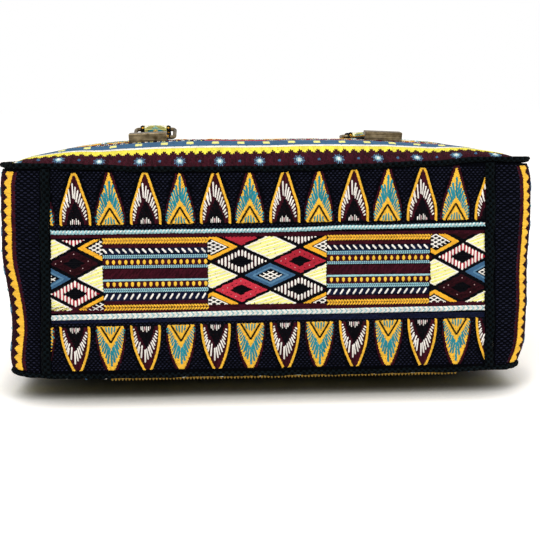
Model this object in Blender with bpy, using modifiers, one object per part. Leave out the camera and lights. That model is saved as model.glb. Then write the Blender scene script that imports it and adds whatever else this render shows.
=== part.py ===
"""Canvas shoulder bag with two strap handles, lying on its back panel.

The base faces -Y, the open mouth +Y and the front panel +Z; the width runs along X.
Front and back panels are sewn to one long strip (gusset, base, gusset), and every seam edge is bound
with tape that stands outward. Metres, +Z up.
"""

from math import atan2, cos, pi, radians, sin, sqrt

import bmesh
import bpy
from mathutils import Matrix, Vector

# Bag body
BAG_WIDTH = 0.360
BAG_HEIGHT = 0.275
BASE_DEPTH = 0.1455
MOUTH_DEPTH = 0.126
CORNER_RADIUS = 0.016
SEAM_FROM_SIDE = 0.028
BASE_SEAM_LEAN = 0.0045
FRONT_PILLOW = 0.017
BACK_PILLOW = 0.011
SIDE_PILLOW = 0.005
CANVAS = 0.0016
LINING = 0.0008
GAP = 0.0003
LINING_GAP = 0.0005

# How the pillows spread over a panel, as shares of its height or half width
FRONT_RISE = 0.22
BACK_RISE = 0.16
BACK_FLAT = 0.70
MOUTH_SAG = 0.5
SAG_START = 0.6
PILLOW_POWER = 2.7
PILLOW_POWER_GAIN = 3.0
FLATTENS_BY = 0.45
SIDE_RISE_LENGTH = 0.11
RISE_POWER = 2.2

# Seam tape, folded over the raw edges
TAPE_THICK = 0.0032
TAPE_TALL = 0.0052
TAPE_OUT = 0.0012
TAPE_ROUNDING = 0.35
BASE_TAPE_THICK = 0.0046
BASE_TAPE_STAND = 0.0044
MOUTH_TAPE_THICK = 0.0050
MOUTH_TAPE_TALL = 0.0062
MOUTH_TAPE_TURN = 0.005

# Stiffening board and pocket
BOARD_THICK = 0.0025
BOARD_CORNER = 0.010
BOARD_MARGIN = 0.0006
POCKET_WIDTH = 0.180
POCKET_TALL = 0.125
POCKET_BELOW_MOUTH = 0.045
POCKET_THICK = 0.0010
POCKET_CORNER = 0.012

# Straps and their metal
STRAP_X = 0.085
STRAP_WIDTH = 0.025
PLY = 0.0014
ANCHOR_START = 0.048
ANCHOR_LENGTH = 0.098
ANCHOR_SPLIT = 0.012
RING_BAR_RADIUS = 0.0016
EYE_CLEARANCE = 0.00025
RING_WIDTH = 0.0318
RING_LENGTH = 0.020
RING_CORNER = 0.0026
LIFTED_RING_ANGLE = 20.0
CAP_WIDTH = 0.027
CAP_LENGTH = 0.008
CAP_LIP = 0.0022
CAP_BEVEL = 0.0006
FRONT_ARCH_REACH = 0.088
FRONT_ARCH_DROP = 0.106
LEG_NEAR = 0.022
LEG_MIDDLE = 0.050
LEG_FAR = 0.080
BACK_ARCH_REACH = 0.138

# Places that follow from the sizes
EYE_RADIUS = RING_BAR_RADIUS + EYE_CLEARANCE + PLY
AXIS_HEIGHT = GAP + EYE_RADIUS
HARDWARE_HEIGHT = AXIS_HEIGHT + EYE_RADIUS
BACK_FLAT_Z = HARDWARE_HEIGHT
BACK_SEAM_Z = BACK_FLAT_Z + BACK_PILLOW
TAPE_HALF = (TAPE_TALL / 2 + TAPE_THICK * (0.5 - TAPE_ROUNDING)) / sqrt(2)
PANEL_INSET = TAPE_HALF - TAPE_OUT + GAP
STRIP_INSET = CANVAS + GAP
TAPE_REACH = TAPE_HALF + TAPE_OUT
BASE_REACH = max(TAPE_REACH, BASE_TAPE_STAND)
ARCH_END = BACK_ARCH_REACH + PLY
BASE_Y = (BASE_REACH - BAG_HEIGHT - ARCH_END) / 2
MOUTH_Y = BASE_Y + BAG_HEIGHT
ANCHOR_Y = BASE_Y + ANCHOR_START
HINGE_Y = ANCHOR_Y + ANCHOR_LENGTH
HALF_WIDTH = BAG_WIDTH / 2
BASE_SEAM_X = HALF_WIDTH - SEAM_FROM_SIDE
CORNER_X = HALF_WIDTH - CORNER_RADIUS
WALL = CANVAS + LINING_GAP + LINING
SIDE_LOW_Z = BACK_SEAM_Z + STRIP_INSET

# How a handle runs, as shares of a length, with its lean and its turn in degrees
FRONT_ARCH = (
    (0.976, 0.004, -0.009, 10, 22),
    (0.941, 0.36, 0.113, 35, 45),
    (0.812, 0.68, 0.434, 60, 70),
    (0.553, 0.89, 0.783, 75, 87),
    (0.282, 0.98, 0.953, 80, 90),
    (0.0, 1.0, 1.0, 80, 90),
)
BACK_ARCH = ((0.988, 0.28, 30), (0.918, 0.54, 66), (0.718, 0.79, 86), (0.40, 0.95, 90), (0.0, 1.0, 90))
MOUTH_TURN = 22

# Colours and finish
NAVY = (0.012, 0.014, 0.025)
ORNAMENT_RED = (0.30, 0.09, 0.06)
TAPE_BLACK = (0.006, 0.010, 0.012)
COTTON_BLUE = (0.03, 0.035, 0.05)
BOARD_GREY = (0.20, 0.19, 0.17)
STRAP_OCHRE = (0.60, 0.42, 0.12)
BRONZE = (0.21, 0.16, 0.10)
CLOTH_ROUGHNESS = 0.8
METAL_ROUGHNESS = 0.35

# Mesh fineness
CORNER_STEPS = 4
ROWS_UP = 11
ROW_SPREAD = 1.4
PANEL_COLUMNS = 16
EDGE_CROWDING = 1.25
GUSSET_ROWS = 6
ROUTE_STEPS = 3
TAPE_RUNS = 6
STRAP_RUNS = 7
ARC_STEPS = 4
SLOPE_STEP = BAG_HEIGHT / 550
MERGE_SHARE = 0.03
EYE_SIDES = 16
SMOOTH_ANGLE = radians(35)


# Helpers: colours and objects


def material(name, colour, roughness, metallic=0.0):
    """A Principled material of one colour."""
    made = bpy.data.materials.new(name)
    made.use_nodes = True
    shader = made.node_tree.nodes["Principled BSDF"]
    shader.inputs["Base Color"].default_value = (*colour, 1.0)
    shader.inputs["Roughness"].default_value = roughness
    shader.inputs["Metallic"].default_value = metallic
    made.diffuse_color = (*colour, 1.0)
    return made


def add_object(name, data, look, collection):
    """An object for a mesh or curve, with its material, in the bag's collection."""
    made = bpy.data.objects.new(name, data)
    data.materials.append(look)
    collection.objects.link(made)
    return made


def mesh_from(name, work):
    """A smooth-shaded mesh from a bmesh, which is freed."""
    bmesh.ops.recalc_face_normals(work, faces=work.faces)
    mesh = bpy.data.meshes.new(name)
    work.to_mesh(mesh)
    work.free()
    mesh.shade_smooth()
    mesh.set_sharp_from_angle(angle=SMOOTH_ANGLE)
    return mesh


def clamp(value):
    return min(max(value, 0.0), 1.0)


def rise(share):
    """0 to 1, steep at first and level at the end, as cloth leaves a seam."""
    return 1 - (1 - clamp(share)) ** RISE_POWER


def ease(share):
    """0 to 1, level at both ends."""
    share = clamp(share)
    return share * share * (3 - 2 * share)


def solidify(piece, thickness):
    """Gives an open sheet its thickness on the inner side."""
    wall = piece.modifiers.new("cloth_thickness", "SOLIDIFY")
    wall.thickness = thickness
    wall.offset = -1.0
    wall.use_even_offset = True
    wall.use_rim = True


def rounded_section(across, tall):
    """Eight points of a rectangle with cut corners, as (a, b) about its centre."""
    cut = min(across, tall) * TAPE_ROUNDING
    half_a, half_b = across / 2, tall / 2
    return [
        (half_a, -half_b + cut),
        (half_a, half_b - cut),
        (half_a - cut, half_b),
        (-half_a + cut, half_b),
        (-half_a, half_b - cut),
        (-half_a, -half_b + cut),
        (-half_a + cut, -half_b),
        (half_a - cut, -half_b),
    ]


def swept_mesh(name, stations, section, closed=False):
    """A section carried along stations of (centre, direction a, direction b), as a closed solid."""
    work = bmesh.new()
    rings = [
        [work.verts.new(centre + toward_a * a + toward_b * b) for a, b in section]
        for centre, toward_a, toward_b in stations
    ]
    pairs = list(zip(rings, rings[1:]))
    if closed:
        pairs.append((rings[-1], rings[0]))
    count = len(section)
    for first, second in pairs:
        for i in range(count):
            j = (i + 1) % count
            work.faces.new((first[i], first[j], second[j], second[i]))
    if not closed:
        work.faces.new(rings[0])
        work.faces.new(rings[-1])
    return mesh_from(name, work)


def flat_outline_mesh(name, outlines, thickness):
    """A flat plate of the first outline, with the others as holes, centred on its own plane."""
    curve = bpy.data.curves.new(name, "CURVE")
    curve.dimensions = "2D"
    curve.fill_mode = "BOTH"
    curve.extrude = thickness / 2
    for outline in outlines:
        spline = curve.splines.new("POLY")
        spline.points.add(len(outline) - 1)
        for point, (a, b) in zip(spline.points, outline):
            point.co = (a, b, 0.0, 1.0)
        spline.use_cyclic_u = True
    holder = bpy.data.objects.new(name, curve)
    bpy.context.scene.collection.objects.link(holder)
    graph = bpy.context.evaluated_depsgraph_get()
    mesh = bpy.data.meshes.new_from_object(holder.evaluated_get(graph))
    bpy.data.objects.remove(holder)
    bpy.data.curves.remove(curve)
    work = bmesh.new()
    work.from_mesh(mesh)
    bmesh.ops.remove_doubles(work, verts=work.verts, dist=MERGE_SHARE * GAP)
    work.to_mesh(mesh)
    work.free()
    return mesh


def rounded_rectangle(width, height, radius, steps=5):
    """The outline of a rectangle with round corners, about its centre."""
    outline = []
    for corner, (side_a, side_b) in enumerate(((1, 1), (-1, 1), (-1, -1), (1, -1))):
        centre_a = side_a * (width / 2 - radius)
        centre_b = side_b * (height / 2 - radius)
        for step in range(steps + 1):
            angle = pi / 2 * (corner + step / steps)
            outline.append((centre_a + radius * cos(angle), centre_b + radius * sin(angle)))
    return outline


def arc(centre, radius, start, stop, steps):
    """Points of an arc in degrees, both ends included."""
    angles = [radians(start + (stop - start) * step / steps) for step in range(steps + 1)]
    return [(centre[0] + radius * cos(angle), centre[1] + radius * sin(angle)) for angle in angles]


# The bag's own surfaces


def up_bag(y):
    """How far a place lies from the base toward the mouth, as a share."""
    return clamp((y - BASE_Y) / BAG_HEIGHT)


def half_width(y, inset=0.0):
    """Half the bag's width at a height, with its round lower corners, on a line inside the seam."""
    into = CORNER_RADIUS - min(max(y - BASE_Y, 0.0), CORNER_RADIUS)
    return CORNER_X + sqrt(max((CORNER_RADIUS - inset) ** 2 - into**2, 0.0))


def seam_z(y):
    """Height of the seam between the front panel and the gusset."""
    return BACK_SEAM_Z + BASE_DEPTH + (MOUTH_DEPTH - BASE_DEPTH) * up_bag(y)


def front_z(x, y):
    """Outer face of the front panel: a pillow that starts at the seam and sags toward the mouth."""
    share = up_bag(y)
    power = PILLOW_POWER + PILLOW_POWER_GAIN * ease(share / FLATTENS_BY)
    across = 1 - clamp(abs(x) / half_width(y)) ** power
    along = rise(share / FRONT_RISE) * (1 - MOUTH_SAG * ease((share - SAG_START) / (1 - SAG_START)))
    return seam_z(y) + FRONT_PILLOW * across * along


def base_seam_x(z):
    """Half the distance between the base seams, which spread a little toward the back seam."""
    share = clamp((z - SIDE_LOW_Z) / (seam_z(BASE_Y) - STRIP_INSET - SIDE_LOW_Z))
    return BASE_SEAM_X + BASE_SEAM_LEAN * (1 - share)


def back_z(x, y):
    """Outer face of the back panel, pressed flat where the bag rests on it."""
    across = rise((1 - abs(x) / half_width(y)) / (1 - BACK_FLAT))
    return BACK_SEAM_Z - BACK_PILLOW * across * rise(up_bag(y) / BACK_RISE)


def slopes(surface, x, y):
    """Slope of a surface along X and along Y, taken inside the seam line."""
    step = SLOPE_STEP
    limit = half_width(y) - 2 * step
    x = min(max(x, -limit), limit)
    along_x = (surface(x + step, y) - surface(x - step, y)) / (2 * step)
    along_y = (surface(x, y + step) - surface(x, y - step)) / (2 * step)
    return along_x, along_y


def below(surface, x, y, depth):
    """How far a depth measured square to a surface reaches along Z."""
    along_x, along_y = slopes(surface, x, y)
    return depth * sqrt(1 + along_x**2 + along_y**2)


def side_swell(y, z):
    """How far the gusset swells outward between its two seams."""
    high = seam_z(y) - STRIP_INSET
    share = clamp((z - SIDE_LOW_Z) / (high - SIDE_LOW_Z))
    return SIDE_PILLOW * 4 * share * (1 - share) * ease((y - BASE_Y) / SIDE_RISE_LENGTH)


def row_heights(inset=0.0):
    """Heights of the mesh rows: round the corner, then up to the mouth, closer where the pillow rises."""
    radius = CORNER_RADIUS - inset
    top = BASE_Y + CORNER_RADIUS
    corner = [top - radius * cos(pi / 2 * step / CORNER_STEPS) for step in range(CORNER_STEPS + 1)]
    return corner + [top + (MOUTH_Y - top) * (row / ROWS_UP) ** ROW_SPREAD for row in range(1, ROWS_UP + 1)]


def column_share(share):
    """Spreads mesh columns from -1 to 1, closer toward the side seams."""
    return sin(EDGE_CROWDING * share) / sin(EDGE_CROWDING)


def strip_line(start_x):
    """Places (x, y, outward x, outward y) along the strip, from start_x on the base to the mouth."""
    places = [(start_x, BASE_Y, 0.0, -1.0)]
    for row, y in enumerate(row_heights()):
        angle = pi / 2 * min(row / CORNER_STEPS, 1.0)
        places.append((half_width(y), y, sin(angle), -cos(angle)))
    return places


# Soft body


def panel(name, surface, look, collection, facing):
    """A front or back panel: a grid laid on its pillow, inside the seam line."""
    work = bmesh.new()
    rows = [(y, half_width(y, PANEL_INSET)) for y in row_heights(PANEL_INSET)]
    bmesh.ops.create_grid(work, x_segments=PANEL_COLUMNS, y_segments=len(rows) - 1, size=1.0)
    for vert in work.verts:
        y, half = rows[round((vert.co.y + 1) / 2 * (len(rows) - 1))]
        x = column_share(vert.co.x) * half
        vert.co = (x, y, surface(x, y))
    mesh = mesh_from(name, work)
    if mesh.polygons[0].normal.z * facing < 0:
        mesh.flip_normals()
    made = add_object(name, mesh, look, collection)
    solidify(made, CANVAS)
    return made


def gusset(name, side, look, collection):
    """A side gusset, which turns the lower corner and runs on to the base seam."""
    beside_tape = BASE_TAPE_THICK / 2 + GAP
    line = strip_line(BASE_SEAM_X)
    work = bmesh.new()
    bmesh.ops.create_grid(work, x_segments=len(line) - 1, y_segments=GUSSET_ROWS, size=1.0)
    for vert in work.verts:
        column = round((vert.co.x + 1) / 2 * (len(line) - 1))
        x, y, out_x, out_y = line[column]
        high = seam_z(y) - STRIP_INSET
        z = SIDE_LOW_Z + (high - SIDE_LOW_Z) * (vert.co.y + 1) / 2
        if column == 0:
            x = base_seam_x(z) + beside_tape
        swell = side_swell(y, z)
        vert.co = (side * (x + out_x * swell), y + out_y * swell, z)
    mesh = mesh_from(name, work)
    outermost = max(mesh.polygons, key=lambda face: side * face.center.x)
    if outermost.normal.x * side < 0:
        mesh.flip_normals()
    made = add_object(name, mesh, look, collection)
    solidify(made, CANVAS)
    return made


def base_panel(look, collection):
    """The flat base between the two base seams."""
    low = SIDE_LOW_Z
    high = seam_z(BASE_Y) - STRIP_INSET
    work = bmesh.new()
    bmesh.ops.create_cube(work, size=2.0)
    bmesh.ops.scale(work, verts=work.verts, vec=(1.0, CANVAS / 2, (high - low) / 2))
    bmesh.ops.translate(work, verts=work.verts, vec=(0.0, BASE_Y + CANVAS / 2, (low + high) / 2))
    for vert in work.verts:
        vert.co.x *= base_seam_x(vert.co.z) - BASE_TAPE_THICK / 2 - GAP
    return add_object("base_panel", mesh_from("base_panel", work), look, collection)


def seam_tape(name, heights, upward, look, collection):
    """The tape of one long seam: up the left side, round the base and up the right side."""
    half_line = strip_line(0.0)
    line = [(-x, y, -out_x, out_y) for x, y, out_x, out_y in reversed(half_line[1:])] + half_line
    stations = []
    for x, y, out_x, out_y in line:
        outward = Vector((out_x, out_y, 0.0))
        up = Vector((0.0, 0.0, upward))
        centre = Vector((x, y, heights(y))) + (outward + up) * TAPE_OUT
        stations.append((centre, (outward + up).normalized(), (outward - up).normalized()))
    mesh = swept_mesh(name, stations, rounded_section(TAPE_TALL, TAPE_THICK))
    return add_object(name, mesh, look, collection)


def base_tape(name, side, look, collection):
    """The tape of a base seam, from the back seam to the front seam."""
    low = SIDE_LOW_Z
    high = seam_z(BASE_Y) - STRIP_INSET
    outer_y = BASE_Y - BASE_TAPE_STAND
    inner_y = BASE_Y + CANVAS - GAP
    stations = []
    for step in range(TAPE_RUNS + 1):
        z = low + (high - low) * step / TAPE_RUNS
        centre = Vector((side * base_seam_x(z), (outer_y + inner_y) / 2, z))
        stations.append((centre, Vector((1, 0, 0)), Vector((0, 1, 0))))
    mesh = swept_mesh(name, stations, rounded_section(BASE_TAPE_THICK, inner_y - outer_y))
    return add_object(name, mesh, look, collection)


def mouth_tape(look, collection):
    """The tape round the open mouth, on the edges of the canvas and the lining."""
    turn = MOUTH_TAPE_TURN
    side_x = HALF_WIDTH - WALL / 2
    inner_x = side_x - turn
    front_edge = front_z(inner_x, MOUTH_Y) - WALL / 2
    back_edge = back_z(inner_x, MOUTH_Y) + WALL / 2
    right = []
    for step in range(TAPE_RUNS + 1):
        x = inner_x * step / TAPE_RUNS
        right.append((x, front_z(x, MOUTH_Y) - WALL / 2))
    right += arc((inner_x, front_edge - turn), turn, 90, 0, ARC_STEPS)[1:]
    low, high = back_edge + turn, front_edge - turn
    for step in range(1, GUSSET_ROWS):
        z = high + (low - high) * step / GUSSET_ROWS
        right.append((side_x + side_swell(MOUTH_Y, z), z))
    right += arc((inner_x, low), turn, 0, -90, ARC_STEPS)
    for step in range(TAPE_RUNS - 1, -1, -1):
        x = inner_x * step / TAPE_RUNS
        right.append((x, back_z(x, MOUTH_Y) + WALL / 2))
    loop = right + [(-x, z) for x, z in reversed(right[1:-1])]
    stations = []
    y = MOUTH_Y + GAP + MOUTH_TAPE_TALL / 2
    for i, (x, z) in enumerate(loop):
        before, after = loop[i - 1], loop[(i + 1) % len(loop)]
        along = Vector((after[0] - before[0], 0.0, after[1] - before[1])).normalized()
        outward = along.cross(Vector((0, 1, 0)))
        stations.append((Vector((x, y, z)), outward, Vector((0, 1, 0))))
    section = rounded_section(MOUTH_TAPE_THICK, MOUTH_TAPE_TALL)
    mesh = swept_mesh("mouth_tape", stations, section, closed=True)
    return add_object("mouth_tape", mesh, look, collection)


def lining(look, collection):
    """The lining, one bag with an open top that follows the canvas."""
    inset = CANVAS + LINING_GAP
    floor_y = BASE_Y + CANVAS + BOARD_THICK + 2 * GAP
    heights = [floor_y] + [y for y in row_heights(inset) if y > floor_y + LINING]
    columns, sides = PANEL_COLUMNS, GUSSET_ROWS
    work = bmesh.new()
    rings = []
    for y in heights:
        half = half_width(y, inset)
        xs = [half * column_share(2 * step / columns - 1) for step in range(columns + 1)]
        front = [(x, front_z(x, y) - below(front_z, x, y, inset)) for x in xs]
        back = [(x, back_z(x, y) + below(back_z, x, y, inset)) for x in reversed(xs)]
        high, low = front[-1][1], back[0][1]
        zs = [high + (low - high) * step / sides for step in range(1, sides)]
        right = [(half + side_swell(y, z), z) for z in zs]
        left = [(-x, z) for x, z in reversed(right)]
        rings.append([work.verts.new((x, y, z)) for x, z in front + right + back + left])
    for first, second in zip(rings, rings[1:]):
        for i in range(len(first)):
            j = (i + 1) % len(first)
            work.faces.new((first[i], first[j], second[j], second[i]))
    work.faces.new(rings[0])
    mesh = mesh_from("lining", work)
    cap = min(mesh.polygons, key=lambda face: face.center.y)
    if cap.normal.y > 0:
        mesh.flip_normals()
    made = add_object("lining", mesh, look, collection)
    solidify(made, LINING)
    return made


def base_board(look, collection):
    """The stiff board that keeps the base flat, between base panel and lining."""
    low = SIDE_LOW_Z + BOARD_MARGIN
    high = seam_z(BASE_Y) - STRIP_INSET - BOARD_MARGIN
    outline = rounded_rectangle(2 * CORNER_X, high - low, BOARD_CORNER)
    mesh = flat_outline_mesh("base_board", [outline], BOARD_THICK)
    mesh.transform(Matrix.Rotation(radians(90), 4, "X"))
    made = add_object("base_board", mesh, look, collection)
    made.location = (0.0, BASE_Y + CANVAS + GAP + BOARD_THICK / 2, (low + high) / 2)
    return made


def inner_pocket(look, collection):
    """A flat slip pocket on the lining's back wall."""
    outline = rounded_rectangle(POCKET_WIDTH, POCKET_TALL, POCKET_CORNER)
    mesh = flat_outline_mesh("inner_pocket", [outline], POCKET_THICK)
    made = add_object("inner_pocket", mesh, look, collection)
    middle_y = MOUTH_Y - POCKET_BELOW_MOUTH - POCKET_TALL / 2
    made.location = (0.0, middle_y, BACK_FLAT_Z + WALL + GAP + POCKET_THICK / 2)
    return made


# Straps, rings and end caps. side is -1 for left and 1 for right, facing is 1 for front and -1 for back.


def face_z(x, y, facing):
    """Outer face of the panel on one side of the bag."""
    return front_z(x, y) if facing > 0 else back_z(x, y)


def hinge_z(facing):
    """Height of the line that both rings of one handle turn on."""
    inner_edge = STRAP_X - STRAP_WIDTH / 2
    return face_z(inner_edge, HINGE_Y - EYE_RADIUS, facing) + facing * AXIS_HEIGHT


def anchor_strap(name, side, facing, look, collection):
    """A strap sewn to the panel, folded into an eye for the ring at its upper end."""
    x = side * STRAP_X
    surface = front_z if facing > 0 else back_z
    split_y = HINGE_Y - ANCHOR_SPLIT
    stations = []
    for step in range(STRAP_RUNS + 1):
        y = ANCHOR_Y + (split_y - ANCHOR_Y) * step / STRAP_RUNS
        slope_x, slope_y = slopes(surface, x, y)
        width_way = Vector((1.0, 0.0, slope_x)).normalized()
        thick_way = width_way.cross(Vector((0.0, 1.0, slope_y)).normalized())
        centre = Vector((x, y, surface(x, y))) + thick_way * facing * (GAP + PLY)
        stations.append((centre, width_way, thick_way))
    axis = Vector((x, HINGE_Y, hinge_z(facing)))
    meets_eye = axis - Vector((0.0, EYE_RADIUS - PLY / 2, 0.0))
    stations.append((meets_eye, Vector((1.0, 0.0, 0.0)), Vector((0.0, 0.0, 1.0))))
    mesh = swept_mesh(name, stations, rounded_section(STRAP_WIDTH, 2 * PLY))
    made = add_object(name, mesh, look, collection)
    join_eye(made, axis, collection)
    return made


def end_cap(name, side, facing, look, collection):
    """A metal bar over the strap's lower end, with a lip down to the panel."""
    strap_top = GAP + 2 * PLY + GAP
    outline = [
        (-GAP - CAP_LIP, GAP),
        (-GAP, GAP),
        (-GAP, strap_top),
        (CAP_LENGTH, strap_top),
        (CAP_LENGTH, HARDWARE_HEIGHT),
        (-GAP - CAP_LIP, HARDWARE_HEIGHT),
    ]
    mesh = flat_outline_mesh(name, [outline], CAP_WIDTH)
    x = side * STRAP_X
    surface = front_z if facing > 0 else back_z
    slope_x, slope_y = slopes(surface, x, ANCHOR_Y)
    along_x = Vector((1.0, 0.0, slope_x)).normalized()
    along_y = Vector((0.0, 1.0, slope_y))
    along_y = (along_y - along_x * along_y.dot(along_x)).normalized()
    away = along_x.cross(along_y) * facing
    origin = Vector((x, ANCHOR_Y, surface(x, ANCHOR_Y)))
    for vert in mesh.vertices:
        y, height, across = vert.co
        vert.co = origin + along_x * across + along_y * y + away * height
    work = bmesh.new()
    work.from_mesh(mesh)
    bpy.data.meshes.remove(mesh)
    made = add_object(name, mesh_from(name, work), look, collection)
    bevel = made.modifiers.new("cap_edges", "BEVEL")
    bevel.width = CAP_BEVEL
    bevel.segments = 2
    bevel.limit_method = "ANGLE"
    return made


def ring_tilt(side, facing):
    """How far a ring stands off level, about +X. The left front one is caught up by its strap."""
    if facing < 0:
        return 0.0
    slope = slopes(front_z, STRAP_X, HINGE_Y + RING_LENGTH / 2)[1]
    lift = radians(LIFTED_RING_ANGLE) if side < 0 else 0.0
    return atan2(slope, 1.0) + lift


def far_bar(side, facing):
    """Centre of the ring's far bar, which the handle hangs on."""
    tilt = ring_tilt(side, facing)
    reach = Vector((0.0, cos(tilt), sin(tilt))) * RING_LENGTH
    return Vector((side * STRAP_X, HINGE_Y, hinge_z(facing))) + reach


def ring(name, side, facing, look, collection):
    """A rectangular wire ring that turns on its near bar."""
    curve = bpy.data.curves.new(name, "CURVE")
    curve.dimensions = "3D"
    curve.bevel_depth = RING_BAR_RADIUS
    curve.bevel_resolution = 3
    outline = rounded_rectangle(RING_WIDTH, RING_LENGTH, RING_CORNER, steps=2)
    spline = curve.splines.new("POLY")
    spline.points.add(len(outline) - 1)
    for point, (a, b) in zip(spline.points, outline):
        point.co = (a, b + RING_LENGTH / 2, 0.0, 1.0)
    spline.use_cyclic_u = True
    spline.use_smooth = True
    made = add_object(name, curve, look, collection)
    made.location = (side * STRAP_X, HINGE_Y, hinge_z(facing))
    made.rotation_euler = (ring_tilt(side, facing), 0.0, 0.0)
    return made


def smooth_route(rows, steps):
    """A smooth line through rows of numbers (Catmull-Rom)."""
    ends = [[2 * a - b for a, b in zip(rows[0], rows[1])]]
    tail = [[2 * a - b for a, b in zip(rows[-1], rows[-2])]]
    rows = ends + [list(row) for row in rows] + tail
    route = []
    for before, first, second, after in zip(rows, rows[1:], rows[2:], rows[3:]):
        for step in range(steps):
            t = step / steps
            route.append(
                [
                    0.5 * (2 * b + (c - a) * t + (2 * a - 5 * b + 4 * c - d) * t * t + (3 * b - a - 3 * c + d) * t**3)
                    for a, b, c, d in zip(before, first, second, after)
                ]
            )
    route.append(rows[-2])
    return route


def half_height(turn):
    """Half the height of a strap that is turned toward its edge by some degrees."""
    return STRAP_WIDTH / 2 * sin(radians(turn)) + PLY * cos(radians(turn))


def front_leg(side):
    """The front handle from its ring to the middle of its arch: (x, y, z, lean, turn) rows."""
    bar = far_bar(side, 1)
    over_mouth = front_z(STRAP_X, MOUTH_Y) + MOUTH_TAPE_THICK / 2
    rows = [(bar.x, bar.y + EYE_RADIUS - PLY / 2, bar.z, 0, 0)]
    for ahead, turn in ((LEG_NEAR, 0), (LEG_MIDDLE, 4), (LEG_FAR, 10)):
        y = bar.y + ahead
        x = side * STRAP_X
        rows.append((x, y, front_z(abs(x) - STRAP_WIDTH / 3, y) + half_height(turn) + 2 * GAP, 0, turn))
    for out_x, out_y, drop, lean, turn in FRONT_ARCH:
        y = MOUTH_Y + FRONT_ARCH_REACH * out_y
        z = over_mouth + half_height(MOUTH_TURN) + GAP - FRONT_ARCH_DROP * drop
        rows.append((side * STRAP_X * out_x, y, z, lean, turn))
    return rows


def back_leg(side):
    """The back handle, flat under the bag and then on its edge on the floor."""
    bar = far_bar(side, -1)
    under = half_height(0) + GAP / 2
    rows = [
        (bar.x, bar.y + EYE_RADIUS - PLY / 2, bar.z, 0, 0),
        (bar.x, bar.y + LEG_NEAR, under, 0, 0),
        (bar.x, MOUTH_Y + MOUTH_TAPE_TALL, under, 0, 0),
    ]
    for out_x, out_y, turn in BACK_ARCH:
        y = MOUTH_Y + BACK_ARCH_REACH * out_y
        rows.append((side * STRAP_X * out_x, y, half_height(turn) + GAP / 2, 0, turn))
    return rows


def handle(name, leg, facing, look, collection):
    """A strap from ring to ring, flat at its ends and turned on its edge along its arch."""
    left, right = leg(-1), leg(1)
    route = smooth_route(left + list(reversed(right[:-1])), ROUTE_STEPS)
    stations = []
    for i, (x, y, z, lean, turn) in enumerate(route):
        before, after = route[max(i - 1, 0)], route[min(i + 1, len(route) - 1)]
        along = (Vector(after[:3]) - Vector(before[:3])).normalized()
        away = Vector((0.0, sin(radians(lean)), cos(radians(lean))))
        away = (away - along * away.dot(along)).normalized()
        flat = away.cross(along)
        width_way = flat * cos(radians(turn)) + away * sin(radians(turn))
        thick_way = along.cross(width_way)
        clear_of_floor = STRAP_WIDTH / 2 * abs(width_way.z) + PLY * abs(thick_way.z) + GAP / 2
        stations.append((Vector((x, y, max(z, clear_of_floor))), width_way, thick_way))
    section = rounded_section(STRAP_WIDTH, 2 * PLY)
    made = add_object(name, swept_mesh(name, stations, section), look, collection)
    for side in (-1, 1):
        join_eye(made, far_bar(side, facing), collection)
    return made


def join_eye(strap, bar, collection):
    """Joins the folded eye round a ring's bar to the end of a strap."""
    outside = arc((0.0, 0.0), EYE_RADIUS, 0, 360, EYE_SIDES)[:-1]
    inside = arc((0.0, 0.0), RING_BAR_RADIUS + EYE_CLEARANCE, 0, 360, EYE_SIDES)[:-1]
    mesh = flat_outline_mesh(strap.name + "_eye", [outside, inside], STRAP_WIDTH)
    mesh.transform(Matrix(((0, 0, 1, 0), (1, 0, 0, 0), (0, 1, 0, 0), (0, 0, 0, 1))))
    mesh.transform(Matrix.Translation(bar))
    tool = bpy.data.objects.new(strap.name + "_eye_tool", mesh)
    collection.objects.link(tool)
    union = strap.modifiers.new("eye", "BOOLEAN")
    union.operation = "UNION"
    union.solver = "EXACT"
    union.object = tool
    bpy.context.view_layer.update()
    graph = bpy.context.evaluated_depsgraph_get()
    joined = bpy.data.meshes.new_from_object(strap.evaluated_get(graph))
    strap.modifiers.clear()
    old = strap.data
    strap.data = joined
    bpy.data.meshes.remove(old)
    bpy.data.objects.remove(tool)


def build():
    """Clears the scene and makes the bag."""
    for old in list(bpy.data.objects):
        bpy.data.objects.remove(old, do_unlink=True)
    bag = bpy.data.collections.new("canvas_shoulder_bag")
    bpy.context.scene.collection.children.link(bag)

    canvas = material("navy_canvas", NAVY, CLOTH_ROUGHNESS)
    embroidered = material("embroidered_canvas", ORNAMENT_RED, CLOTH_ROUGHNESS)
    tape = material("seam_tape", TAPE_BLACK, CLOTH_ROUGHNESS)
    cotton = material("lining_cotton", COTTON_BLUE, CLOTH_ROUGHNESS)
    board = material("grey_board", BOARD_GREY, CLOTH_ROUGHNESS)
    webbing = material("strap_webbing", STRAP_OCHRE, CLOTH_ROUGHNESS)
    bronze = material("aged_bronze", BRONZE, METAL_ROUGHNESS, 1.0)

    panel("front_panel", front_z, embroidered, bag, 1)
    panel("back_panel", back_z, embroidered, bag, -1)
    base_panel(embroidered, bag)
    for side, word in ((-1, "left"), (1, "right")):
        gusset(f"gusset_{word}", side, canvas, bag)
        base_tape(f"base_tape_{word}", side, tape, bag)
    seam_tape("front_seam_tape", seam_z, 1, tape, bag)
    seam_tape("back_seam_tape", lambda y: BACK_SEAM_Z, -1, tape, bag)
    mouth_tape(tape, bag)
    lining(cotton, bag)
    base_board(board, bag)
    inner_pocket(cotton, bag)

    for facing, face in ((1, "front"), (-1, "back")):
        for side, word in ((-1, "left"), (1, "right")):
            place = f"{face}_{word}"
            anchor_strap(f"anchor_strap_{place}", side, facing, webbing, bag)
            end_cap(f"end_cap_{place}", side, facing, bronze, bag)
            ring(f"ring_{place}", side, facing, bronze, bag)
        leg = front_leg if facing > 0 else back_leg
        handle(f"handle_{face}", leg, facing, webbing, bag)


build()
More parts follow.
